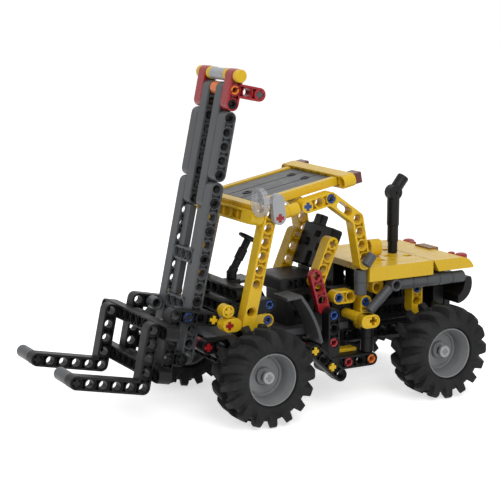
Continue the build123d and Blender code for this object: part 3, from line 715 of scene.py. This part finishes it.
dress("mast_top_spacer", put(bush(BUSH_L), mast(0, 1)), "orange", "mast")
spreaders = (13, 16.5)
spacers = gather(cross_beam(1), [mast(0, b) for b in spreaders])
STRIP_HALF, STRIP_NEAR, STRIP_FAR = 0.25, 0.5, 1.3
strip_ends = (INNER_TOP + INNER_COUNT - 1, *spreaders)
for high, low in zip(strip_ends, strip_ends[1:]):
    for side in SIDES:
        strip_y = span(side, STRIP_NEAR, STRIP_FAR)
        spacers.join(block(around(0, STRIP_HALF), strip_y, (REST - low, -high - REST)), MAST)
dress_node("mast_spacers", spacers)
pivot_lug = straight(PIVOT_A, 0, (PIVOT_A, 0))
dress_node("mast_pivot_lugs", pair(pivot_lug, INNER_Y, mast(0, PIVOT_B)))

# Carriage: sides with rollers, two bars across, forks on them
side_runs = [((-1, -17), (1, -17)), ((1, -17), (2, -17)), ((2, -17), (2, -20)), ((2, -20), (2, -21)),
             ((1, -20), (2, -20))]
side_holes = [(-1, -17), (0, -17), (1, -17), (2, -17), (2, -18), (2, -19), (1, -20), (2, -20), (2, -21)]
dress_node("carriage_sides", pair(liftarm(side_runs, side_holes), SIDE_Y, MAST))
BAR_A = 3
dress_node("carriage_bars", gather(cross_beam(5), [mast(BAR_A, b) for b in (18, 21)]))
rollers, carriage_axles = Form(), Form()
for a, b in ((-1, 17), (1, 17), (1, 20), (2, 18), (2, 21)):
    rollers.join(pair(bush(BUSH_L), COLUMN_Y, mast(a, b)))
    for side in SIDES:
        carriage_axles.join(axle(*span(side, COLUMN_Y, SIDE_OUT)), mast(a, b))
dress_node("carriage_rollers", rollers)
FORK_A, FORK_TIP, FORK_TOP, FORK_LOW = BAR_A + 1, 9, 18, 22
fork_ys = (-3, 4)
heel, tip = (FORK_A, -FORK_LOW), (FORK_TIP, -FORK_LOW)
fork_holes = [(FORK_A, -b) for b in range(FORK_TOP, FORK_LOW + 1)]
fork_holes += [(a, -FORK_LOW) for a in range(FORK_A + 1, FORK_TIP + 1)]
fork = liftarm([((FORK_A, -FORK_TOP), heel), (heel, tip)], fork_holes)
dress_node("forks", gather(fork, [mast(0, 0, y) for y in fork_ys]))
TIP_TUBE, TIP_PLAY = 2, 0.2  # length of the tubes beside the tips, and their play in mm
tip_tubes = Form()
for y in fork_ys:
    tube_start = y - REST - TIP_TUBE
    tip_tubes.join(bush(TIP_TUBE * PITCH - TIP_PLAY), mast(FORK_TIP, FORK_LOW, tube_start + TIP_TUBE / 2))
    carriage_axles.join(axle(tube_start, y + HALF), mast(FORK_TIP, FORK_LOW))
dress_node("fork_tip_tubes", tip_tubes)
dress_node("carriage_axles", carriage_axles)

# Chassis beams
RAIL_FRONT, RAIL_Z = 1.4, 1.0
DECK_Z = RAIL_Z + REST
dress_node("frame_rails", pair(beam(21), COLUMN_Y, spot(RAIL_FRONT, 0, RAIL_Z, 180)))
dress_node("mast_brackets", pair(beam(7), SIDE_Y, PIVOT @ turned(180, "Y")))
REAR_X = -15
KING_Y = 3.25  # the steering pins on the rear axle beam
rear_beam = straight(-KING_Y, KING_Y, (-KING_Y, -2, -1, 0, 1, 2, KING_Y))
axle_beams = put(cross_beam(SIDE_Y), CHASSIS)
axle_beams.join(rear_beam, spot(REAR_X, 0, 0) @ turned(90, "Z") @ turned(90, "X"))
dress_node("axle_beams", axle_beams)

# Front pillars with a lug and a bush at the foot
PILLAR_LEAN = 13.2
pillar_top = spot(-1.60, 0, 10.97, 90 - PILLAR_LEAN)
pillar = straight(0, 8, (0, 1, 2, 3, 4, 5, 7))
foot_end, foot_hole = (1.25, 3.39), (1.75, 3.39)
foot_bush = spot(1.80, 0, 4.40)
pillars = pair(pillar, EDGE_Y, pillar_top)
pillars.join(pair(liftarm([(foot_end, foot_hole)], (), [foot_hole]), EDGE_Y))
pillars.join(pair(bush(BUSH_L), EDGE_Y, foot_bush))
dress_node("front_pillars", pillars)

# Rear pillars: bent arms with a slot
arm_front, arm_mid, arm_knee, arm_elbow = (-4.57, 11.30), (-5.55, 11.51), (-6.53, 11.72), (-8.81, 10.10)
arm_foot, arm_step = (-9.48, 6.73), (-0.196, -0.98)  # the step is one pitch from elbow to foot
arm_slot = ((-7.3, 11.17), (-8.0, 10.68))
arm_runs = [(arm_front, arm_knee), (arm_knee, arm_elbow), (arm_elbow, arm_foot)]
arm_holes = [arm_mid, arm_knee]
arm_holes += [(arm_elbow[0] + step * arm_step[0], arm_elbow[1] + step * arm_step[1]) for step in range(4)]
dress_node("rear_pillars", pair(liftarm(arm_runs, arm_holes, [arm_front], [arm_slot]), EDGE_Y))

# Roof: beams across it, tubes and strips along its sides, boards between them
ROOF_L, ROOF_T = 6.6, 0.5
ROOF_STRIP_IN, ROOF_STRIP_FRONT, ROOF_STRIP_T = 2.9, -0.6, 0.6
roof = spot(-1.2, 0, 11.25, 11.0)
RECESS_D, RECESS_HALF = 3.5, 0.32  # depth in millimetres, half height in pitches
RIB_HALF, RIB_SINK = 0.07, 0.15
recess = rectangle((-3.7, 2.9), around(0, RECESS_HALF))
front_beam = bar([((-EDGE_Y, 0), (EDGE_Y, 0))], back_openings=[recess])
wall(front_beam, recess, -FACE, RECESS_D - FACE, (-1,))
rib_y = (RIB_SINK - HALF, RECESS_D / PITCH - HALF)
for rib in range(-3, 3):
    front_beam.join(block(around(rib, RIB_HALF), rib_y, around(0, RECESS_HALF)))
roof_beams = put(front_beam, spot(-0.52, 0, 10.74, -PILLAR_LEAN) @ turned(90, "Z"))
roof_beams.join(cross_beam(EDGE_Y), roof @ moved((-ROOF_L - REST) * PITCH, 0, ROOF_T / 2 * PITCH))
dress_node("roof_cross_beams", roof_beams)
roof_sides = pair(tube((-2.2, 10.82), (-4.0, 11.18), ribs=1), EDGE_Y)
for side in SIDES:
    strip_y = span(side, ROOF_STRIP_IN, SIDE_OUT)
    roof_sides.join(block((-ROOF_L, ROOF_STRIP_FRONT), strip_y, (0, ROOF_STRIP_T)), roof)
dress_node("roof_sides", roof_sides)
mouth_tube = tube((-2.14, 10.81), (-2.5, 10.88), 3.2, 1.5)
dress("roof_tube_mouths", pair(mouth_tube, EDGE_Y), "dark_red")
front_strip = block((0.03, 0.66), around(0, EDGE_Y), (0.1, ROOF_T))
dress("roof_front_strip", put(front_strip, roof), "yellow")
BOARDS, SEAM = 3, 0.06
board_w = 2 * (ROOF_STRIP_IN - SEAT) / BOARDS
boards = Form()
for index in range(BOARDS):
    low = (index - BOARDS / 2) * board_w
    boards.join(block((-ROOF_L, 0), (low + SEAM, low + board_w - SEAM), (0, ROOF_T)), roof)
dress_node("roof_panel", boards)
roof_pin_line = [(1.4, -0.6), (1.4, 0.25), (1.6, 0.45), (2.5, 0.45), (2.8, 0.2), (2.8, -0.6)]
pin_places = [roof @ moved(x * PITCH, y * PITCH, ROOF_T * PITCH) @ turned(90, "X")
              for x, y in ((-1.0, 0.1), (-5.5, -1.05), (-5.5, 0.85))]
dress("roof_pins", gather(revolve(roof_pin_line, closed=True), pin_places), "black")

# Work lamp on its bracket
bracket_low, bracket_top = (-2.0, 10.75), (-1.85, 11.98)
BRACKET_Y = EDGE_Y + REST + THIN_HALF
bracket = liftarm([(bracket_low, bracket_top)], (), [bracket_low], thick=THIN)
dress_node("work_lamp_bracket", put(bracket, spot(0, BRACKET_Y, 0)))
LAMP_D, STEM_L = 3.8, 6.0
LAMP_OUT = 0.35  # the dish stands this far outside its stem, in pitches
lamp_line = [  # radius, depth behind the front lip of the lamp's dish
    (0.1, -LAMP_D), (7.3, -LAMP_D), (8.0, -3.2), (8.0, -0.4), (7.7, 0.0), (7.3, -0.1), (7.0, -2.0),
    (5.6, -2.7), (4.6, -2.7), (4.3, -2.1), (4.0, -2.7), (2.0, -2.8), (1.6, -1.6), (0.1, -1.4),
]
stem_line = [(1.5, -3.9), (1.95, -4.3), (1.95, -LAMP_D - STEM_L)]
forward = turned(-90, "Z")
work_lamp = revolve(lamp_line, closed=True, count=FINE_ROUND, place=forward)
work_lamp.join(revolve(stem_line, caps=(0, -1), place=forward), moved(0, -LAMP_OUT * PITCH, 0))
lamp_x = bracket_top[0] + REST + (LAMP_D + STEM_L) / PITCH
dress_node("work_lamp", put(work_lamp, spot(lamp_x, BRACKET_Y + LAMP_OUT, bracket_top[1])))

# Seat: a base of stacked beams with blind holes, arms and a lever
FLOOR_TOP = DECK_Z + 0.5
CUSHION_Z, SEAT_HALF, SEAT_EDGE = 4.7, 1.98, 1.4
seat_base = drilled((-7.0, -4.6), 1.5, (FLOOR_TOP + SEAT, CUSHION_Z), (-6.3, -5.3), (3.9, 2.8))
cushion = drilled((-7.4, -3.8), SEAT_HALF, (CUSHION_Z, CUSHION_Z + 1), (-6.6, -5.6, -4.6),
                  (CUSHION_Z + 0.5,), SEAT_EDGE)
seat_base.join(cushion)
dress_node("seat_base", put(seat_base, CHASSIS))
SEAT_ARM_Y = SEAT_HALF + REST
seat_back = spot(-6.95, 0, CUSHION_Z + 1.05, -23.0)
arm_top = seat_back @ moved(0.27 * PITCH, 0, 2.45 * PITCH)
dress_node("seat_arms", pair(beam(4, crosses=(0,)), SEAT_ARM_Y, arm_top @ DOWN))
lever_top, lever_mid, lever_low, lever_end = (-5.94, 5.97), (-6.21, 5.04), (-6.48, 4.12), (-6.66, 3.50)
lever = liftarm([(lever_top, lever_end)], [lever_mid, lever_low], [lever_top], thick=THIN)
dress_node("control_lever", put(lever, spot(0, SEAT_ARM_Y + REST + THIN_HALF, 0)))

# Dash: posts, a beam across them and small arms beside it
dash_x, DASH_Z = (-0.4, 0.58), 4.72
COLUMN_X = -0.85  # foot of the steering column, on a nose of the dash
dash_mid = sum(dash_x) / 2
dash_z = (DASH_Z, DASH_Z + 2 * HALF)
post_low = (pivot.z - front_hub.z) / PITCH + REST
dash = pair(drilled(dash_x, HALF, (post_low, DASH_Z - SEAT), (dash_mid,), (2.9, 3.95)), SIDE_Y)
dash.join(cross_beam(SIDE_Y), spot(dash_mid, 0, DASH_Z + HALF))
dash.join(block((COLUMN_X - HALF, dash_x[0]), around(0), dash_z), CHASSIS)
dress_node("dash_frame", dash)
dash_end, sill_end = (-2.05, 4.27), (-1.90, 3.17)
dress("dash_side_arms", pair(liftarm([((-0.92, 4.16), dash_end)], [dash_end]), SIDE_Y), "black")
dress("dash_sill_arms", pair(liftarm([((-0.92, 3.2), sill_end)], [sill_end]), SIDE_Y), "yellow")
dress("dash_cross_beam", put(cross_beam(COLUMN_Y), spot(dash_mid, 0, 3.9)), "black")

# Steering wheel on its jointed column
JOINT_TOP, JOINT_IN, COLUMN_LEAN, COLUMN_L = 6.3, 1.5, 30.0, 2.7
GRIP_R, GRIP = 5.4, 1.0
column_line = [  # radius, height along the column
    (0.6, -0.6), (2.5, -0.6), (2.8, -0.2), (2.8, 3.4), (2.3, 3.9), (2.3, 8.6), (2.75, 9.0), (2.75, 15.6),
    (2.2, 16.2), (2.2, 21.4), (0.6, 21.6),
]
joint = tube((COLUMN_X, dash_z[1] + SEAT), (COLUMN_X, JOINT_TOP), 3.0, 1.2)
column = spot(COLUMN_X, 0, JOINT_TOP - JOINT_IN / PITCH, -COLUMN_LEAN) @ turned(90, "X")
column_end = COLUMN_L * PITCH + GRIP
steering = put(joint, CHASSIS)
steering.join(revolve(column_line, caps=(0, -1)), column)
grip = revolve(circle(GRIP, (GRIP_R, 0), 10), closed=True, count=FINE_ROUND)
steering.join(grip, column @ moved(0, column_end + SEAT * PITCH, 0))
spoke = block(around(0, 0.62), (-0.05, 0.12), around(0, 0.11))
steering.join(spoke, column @ moved(0, column_end, 0))
dress_node("steering_wheel", steering)

# Mudguards: shells of one thickness, flat in front and curved behind
GUARD_T, GUARD_STEPS = 0.22, 12
guard_front, guard_knee, guard_bow, guard_low = (-2.9, 4.85), (-4.1, 4.95), (-5.25, 3.2), (-5.95, 1.25)
guard_pull = [2 * via - (start + end) / 2 for start, via, end in zip(guard_knee, guard_bow, guard_low)]
guard_line = [Vector(guard_front)]
for step in range(GUARD_STEPS + 1):
    t = step / GUARD_STEPS
    guard_line.append(Vector([(1 - t) ** 2 * start + 2 * t * (1 - t) * pull + t ** 2 * end
                              for start, pull, end in zip(guard_knee, guard_pull, guard_low)]))
inner_line = []
for index, point in enumerate(guard_line):
    along = (guard_line[min(index + 1, len(guard_line) - 1)] - guard_line[max(index - 1, 0)]).normalized()
    inner_line.append(point + GUARD_T * Vector((-along.y, along.x)))
shell = [tuple(PITCH * point) for point in guard_line + inner_line[::-1]]
guard_in, guard_out = COLUMN_Y + HALF + 2 * SEAT, EDGE_Y + HALF
guard_half = (guard_out - guard_in) / 2 * PITCH
guard = wall(Form(), shell, guard_half, -guard_half)
for y in (guard_half, -guard_half):
    flat(guard, y, shell)
dress_node("mudguards", pair(guard, (guard_in + guard_out) / 2))

# Steps with a bar between them, stacks and posts on them
STEP_X, STEP_Z = -9.2, -0.5
ON_STEP = STEP_Z + REST
step_beam = straight(0, 4, (1, 2, 3, 4))
side_steps = pair(step_beam, EDGE_Y, spot(STEP_X + 3, 0, STEP_Z, 180))
side_steps.join(block((STEP_X, STEP_X + 1), around(0, SIDE_OUT), around(STEP_Z)), CHASSIS)
side_steps.join(block((STEP_X, STEP_X + 1), around(0, 2.4), (STEP_Z, RAIL_Z - REST)), CHASSIS)
STACK_X = -6.88
stack_holes = [(STACK_X, z) for z in (3.15, 2.13, 1.13)]
side_steps.join(pair(liftarm([(stack_holes[0], (STACK_X, ON_STEP + HALF))], stack_holes), EDGE_Y))
POST_X, POST_TOP = STEP_X - 0.85, 2.25
side_steps.join(pair(tube((POST_X, ON_STEP), (POST_X, POST_TOP), radius=THIN, ribs=1), EDGE_Y))
dress_node("side_steps", side_steps)

# Slanted links beside the steps, axles across the chassis
link_top, link_low = (-4.68, 0.98), (-6.88, -1.06)
link_holes = [tuple(low + (top - low) * step / 3 for top, low in zip(link_top, link_low))
              for step in range(4)]
LINK_Y = EDGE_Y + 2 * HALF + SEAT
dress_node("side_links", pair(liftarm([(link_top, link_low)], link_holes), LINK_Y))
chassis_axles = put(axle(-SIDE_OUT, SIDE_OUT), PIVOT)
chassis_axles.join(pair(bush(BUSH_L), COLUMN_Y, PIVOT))
for side in SIDES:
    link_axle = axle(*span(side, COLUMN_Y + REST, EDGE_Y + 3 * HALF))
    chassis_axles.join(link_axle, spot(link_top[0], 0, link_top[1]))
dress_node("chassis_axles", chassis_axles)

# Side tubes with an oval end, panels and short beams behind them
TUBE_X, TUBE_Z = STEP_X + 0.13, 2.75
TUBE_IN, TUBE_R = COLUMN_Y + HALF + 3 * SEAT, 3.0
OVAL_Y = 5.98 - HALF
OVAL_WALL, OVAL_SINK = 0.8, 0.7
COLLAR_IN, COLLAR_W = 0.25, 4.0
oval_run = [((TUBE_X + 0.3, TUBE_Z), (TUBE_X - 0.3, TUBE_Z))]
oval_mouth = outline(oval_run, FACE - OVAL_WALL)
oval = bar(oval_run, BEAM, [oval_mouth], [oval_mouth])
wall(oval, oval_mouth, FACE, -FACE)
oval.join(liftarm(oval_run, (), [(TUBE_X - 0.25, TUBE_Z)], thick=BEAM - 2 * OVAL_SINK))
tube_end, tube_place = OVAL_Y - HALF, spot(TUBE_X, 0, TUBE_Z)
side_tubes = pair(oval, OVAL_Y)
side_tubes.join(pair(bush((tube_end - TUBE_IN) * PITCH, TUBE_R), (tube_end + TUBE_IN) / 2, tube_place))
side_tubes.join(pair(bush(COLLAR_W), tube_end - COLLAR_IN, tube_place))
PANEL_X = TUBE_X - 1.2
panel_holes = [(PANEL_X, 3.6), (PANEL_X, 2.6)]
side_tubes.join(pair(liftarm([(panel_holes[0], (PANEL_X, 1.9))], panel_holes), SIDE_Y))
bar_ends = ((-7.92, 4.15), (-8.92, 4.15))
side_tubes.join(pair(liftarm([bar_ends], bar_ends), SIDE_Y))
dress_node("side_tubes", side_tubes)

# Hood: a tiled plate between two edge beams, a lug on it and hangers under it
HOOD_TOP, HOOD_T, EDGE_T, GAP_HALF, GAP_D = 6.38, 0.5, 1.08, 0.3, 0.2
HANGER_X = REAR_X + 0.1
hood_x, hood_y = (REAR_X - 0.62, -9.9), around(0, SIDE_OUT)
gap_spots = ((-12.3, 2.4), (-13.6, 1.2), (REAR_X - 0.03, 1.9), (HANGER_X, -0.9))
tile_gaps = [rectangle(around(x, GAP_HALF), around(-y, GAP_HALF)) for x, y in gap_spots]
hood = plate(rectangle(hood_x, hood_y), rectangle(hood_x, hood_y, EDGE), HOOD_T * PITCH, tile_gaps)
for gap in tile_gaps:
    wall(hood, gap, HOOD_T / 2 * PITCH, (HOOD_T / 2 - GAP_D) * PITCH, (-1,))
hood_top = put(hood, spot(0, 0, HOOD_TOP - HOOD_T / 2) @ turned(90, "X"))
hood_top.join(pair(block(hood_x, around(0), (HOOD_TOP - EDGE_T, HOOD_TOP)), EDGE_Y))
hood_lug = liftarm([((0, 0), (0, 0.35))], [(0, 0.35)])
hood_top.join(hood_lug, spot(-12.6, 0.9, HOOD_TOP + REST) @ turned(90, "Z"))
hangers = [  # x, heights of the holes, height of the low end's middle
    (PANEL_X - 2 * HALF - 0.05, (4.57,), 4.57),
    (HANGER_X, (4.13, 3.16), 2.65),
]
for x, heights, low in hangers:
    hanger = liftarm([((x, HOOD_TOP - HOOD_T - REST), (x, low))], [(x, z) for z in heights])
    hood_top.join(pair(hanger, SIDE_Y))
dress_node("hood_top", hood_top)

# Tubes under the hood's edges, pegs and clips at the arms' feet
REAR_END = REAR_X - 4.4
EDGE_TUBE_Z = HOOD_TOP - EDGE_T - SEAT - BUSH_R / PITCH
HUB_X, JOINT_X, TAIL_X = -12.4, -13.9, REAR_END + 0.71
PEG_X = hood_x[1] + SEAT + BUSH_R / PITCH
CLIP_R = 3.0
hood_tubes = pair(bush(BEAM, bore=TUBE_BORE), EDGE_Y, spot(HUB_X + 0.05, 0, EDGE_TUBE_Z))
edge_tubes = [
    tube((JOINT_X, EDGE_TUBE_Z), (HUB_X - 0.35, EDGE_TUBE_Z)),
    tube((TAIL_X, EDGE_TUBE_Z), (JOINT_X - 0.03, EDGE_TUBE_Z), ribs=3),
    tube((HUB_X + 0.4, EDGE_TUBE_Z - 0.2), (TUBE_X - 1.13, 3.0), 3.0, 1.6),
    tube((PEG_X, 4.38), (PEG_X, arm_foot[1] - REST), ribs=1),
]
for edge_tube in edge_tubes:
    hood_tubes.join(pair(edge_tube, EDGE_Y))
hood_tubes.join(pair(tube((-9.25, 6.70), (-9.85, 7.45), CLIP_R, 1.8), EDGE_Y + REST + CLIP_R / PITCH))
dress_node("hood_tubes", hood_tubes)

# Engine block: stacked beams under the hood
engine = drilled((REAR_END + 2.4, -11.6), 1.45, (DECK_Z, HOOD_TOP - 0.98),
                 (-16.3, -15.3, -14.3, -13.3, -12.3), (4.65, 3.45, 2.25))
dress_node("engine_block", put(engine, CHASSIS))

# Exhaust: a stepped pipe with a kinked tip
PIPE_LEAN, KINK_Z = 38.0, 4.7
pipe_line = [  # radius, height over the hood
    (1.2, 0.2), (2.7, 0.2), (3.0, 0.5), (3.0, 6.8), (3.4, 7.2), (3.4, 17.0), (3.8, 17.6), (3.8, 36.0),
    (2.2, 37.6),
]
knuckle_line = [(0.6, 3.4), (4.2, 3.4), (4.6, 3.0)]  # radius, y of one half
tip_line = [(2.0, 0.5), (3.7, 1.0), (3.7, 11.2), (3.3, 11.8), (2.6, 11.8), (2.3, 11.4), (2.3, 8.0)]
pipe_foot = spot(REAR_X + 0.3, 0.4, HOOD_TOP)
kink = pipe_foot @ moved(0, 0, KINK_Z * PITCH)
exhaust = put(revolve(pipe_line, caps=(0, -1)), pipe_foot @ turned(90, "X"))
exhaust.join(revolve(mirrored(knuckle_line), closed=True), kink)
exhaust.join(revolve(tip_line, caps=(0, -1)), kink @ turned(-PIPE_LEAN, "Y") @ turned(90, "X"))
dress_node("exhaust", exhaust)

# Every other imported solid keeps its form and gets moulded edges; the seat back's are rounder
for node, solid in frame["nodes"].items():
    if not solid.hide_render:
        piece = settle(node + "_moulded", solid.data.copy(), slot_of_node[node], body_of_node[node], (node,))
        joined = piece.modifiers.new("joined_faces", "WELD")
        joined.merge_threshold = MM / 100
        edges = piece.modifiers.new("moulded_edges", "BEVEL")
        edges.width = MM * (SEAT_EDGE if node == "seat_back" else EDGE)
        edges.segments = 3
        edges.limit_method = "ANGLE"
        edges.angle_limit = radians(40)
        flatten(piece)

# Pins and axle ends in the holes, joined by paint and body
fastenings = {}


def fasten(paint, body, kind, place, y, half=FACE, sides=SIDES):
    """A pin or axle end in a hole of the planes y and -y; half is the plane's half thickness."""
    form = fastenings.setdefault((paint, body), Form())
    for side in sides:
        end = pin_end(side) if kind == "pin" else cross_end(side)
        form.join(end, place @ moved(0, side * (y * PITCH + half), 0))


for b in (2, 3, 7, 9, 11, 13, 16):
    fasten("black", "mast", "pin", mast(0, b), COLUMN_Y)
fasten("orange", "mast", "pin", mast(0, 1), COLUMN_Y)
fasten("yellow", "mast", "cross", mast(0, 0), AXLE_END, half=0.0)
fasten("dark_grey", "mast", "cross", mast(arm_tail[0], -arm_tail[1]), COLUMN_Y, half=FACE - 0.5)
fasten("blue", "carriage", "pin", mast(1, 17), SIDE_Y)
fasten("yellow", "carriage", "cross", mast(-1, 17), SIDE_Y)
chassis_ends = [  # paint, kind, plane, holes
    ("blue", "cross", EDGE_Y, (arm_front,)),
    ("blue", "pin", EDGE_Y, (arm_knee, stack_holes[0])),
    ("red", "cross", EDGE_Y, (foot_hole,)),
    ("red", "pin", EDGE_Y, (stack_holes[2], (STEP_X + 1, STEP_Z))),
    ("orange", "pin", EDGE_Y, ((STEP_X - 1, STEP_Z),)),
    ("blue", "pin", SIDE_Y, (dash_end, sill_end, panel_holes[0], bar_ends[0], (HANGER_X, 4.13))),
    ("yellow", "cross", LINK_Y, (link_holes[3], link_holes[1])),
]
for paint, kind, y, holes in chassis_ends:
    for x, z in holes:
        fasten(paint, "chassis", kind, spot(x, 0, z), y)
fasten("yellow", "chassis", "cross", foot_bush, EDGE_Y, half=BUSH_L / 2)
fasten("red", "chassis", "cross", spot(bracket_low[0], 0, bracket_low[1]), BRACKET_Y, THIN / 2, sides=(1,))
for (paint, body), form in fastenings.items():
    dress("pins_" + paint + "_" + body, form, paint, body)

# Studs and a slotted tile on the hood's rear end
stud_line = [(0.1, -1.8), (3.6, -1.8), (3.8, 0.4), (3.6, 1.1), (2.6, 1.7), (0.1, 1.9)]  # radius, height
stud_form = revolve(stud_line, closed=True)
stud_rows = [  # x behind the rear axle, y, depth under the hood's top, scale
    (3.95, 3.45, 0.12, 1.0),
    (3.7, 2.55, 0.06, 0.6),
]
studs = Form()
for behind, y, depth, size in stud_rows:
    stud = put(stud_form, turned(90, "X") @ Matrix.Scale(size, 4))
    studs.join(pair(stud, y, spot(REAR_X - behind, 0, HOOD_TOP - depth)))
dress("hood_studs", studs, "red")
tile = Form()
for y in (-1.2, -0.7, -0.2, 0.3):
    slat = block((REAR_X - 3.85, REAR_X - 2.95), (y, y + 0.4), (HOOD_TOP - 0.25, HOOD_TOP + 0.14))
    tile.join(slat, CHASSIS)
dress("hood_slotted_tile", tile, "brown")

# Floor and light: rays that show the background find it white
FLOOR_HALF, FLOOR_GLOW, WORLD_LIGHT = 30.0, 0.62, 0.4
WHITE = (1, 1, 1, 1)
WHOLE = (0.0, 1.0)


def seen(tree):
    """1 for rays that show the background: from the camera, in a reflection or through clear plastic."""
    rays = tree.nodes.new("ShaderNodeLightPath")
    total = rays.outputs["Is Camera Ray"]
    for kind in ("Is Glossy Ray", "Is Transmission Ray"):
        most = tree.nodes.new("ShaderNodeMath")
        most.operation = "MAXIMUM"
        feed(tree, most, {0: total, 1: rays.outputs[kind]})
        total = most.outputs["Value"]
    return total


floor_paint, floor_tree, floor_shader = shader("floor_paper", rough=0.8)
feed(floor_tree, floor_shader, {
    "Base Color": (0.9, 0.9, 0.9, 1),
    "Specular IOR Level": 0.1,
    "Emission Color": WHITE,
    "Emission Strength": stretch(floor_tree, seen(floor_tree), high=FLOOR_GLOW, between=WHOLE),
})
floor = bpy.data.meshes.new("floor")
floor_corners = [(x * FLOOR_HALF, y * FLOOR_HALF, 0) for x, y in ((-1, -1), (1, -1), (1, 1), (-1, 1))]
floor.from_pydata(floor_corners, [], [(0, 1, 2, 3)])
floor.materials.append(floor_paint)
floor_piece = bpy.data.objects.new("floor", floor)
scene.collection.objects.link(floor_piece)

world = bpy.data.worlds.new("studio")
world.use_nodes = True
sky = world.node_tree
brightness = stretch(sky, seen(sky), low=WORLD_LIGHT, between=WHOLE)
feed(sky, sky.nodes["Background"], {"Color": WHITE, "Strength": brightness})
scene.world = world

TARGET = Vector((3.44, 0, 89.3)) * MM


def aim(name, data, place):
    """A lamp or camera at a place in metres, turned to the target."""
    piece = bpy.data.objects.new(name, data)
    piece.location = place
    piece.rotation_euler = (TARGET - piece.location).to_track_quat("-Z", "Y").to_euler()
    scene.collection.objects.link(piece)
    return piece


lamps = [  # name, place in metres, size, watts
    ("key", (0.15, 1.15, 0.95), 0.9, 9.0),
    ("front", (1.2, 0.35, 0.8), 0.9, 3.0),
    ("top", (-0.1, -0.1, 1.5), 1.2, 5.0),
]
for name, place, size, watts in lamps:
    light = bpy.data.lights.new(name, "AREA")
    light.size = size
    light.energy = watts
    aim(name, light, place)

# Camera at the photograph's viewing angle
camera_data = bpy.data.cameras.new("camera")
camera_data.lens = 108.1
camera_data.sensor_width = 36.0
scene.camera = aim("camera", camera_data, Vector((424.80, 750.51, 250.83)) * MM)
scene.view_settings.view_transform = "Standard"
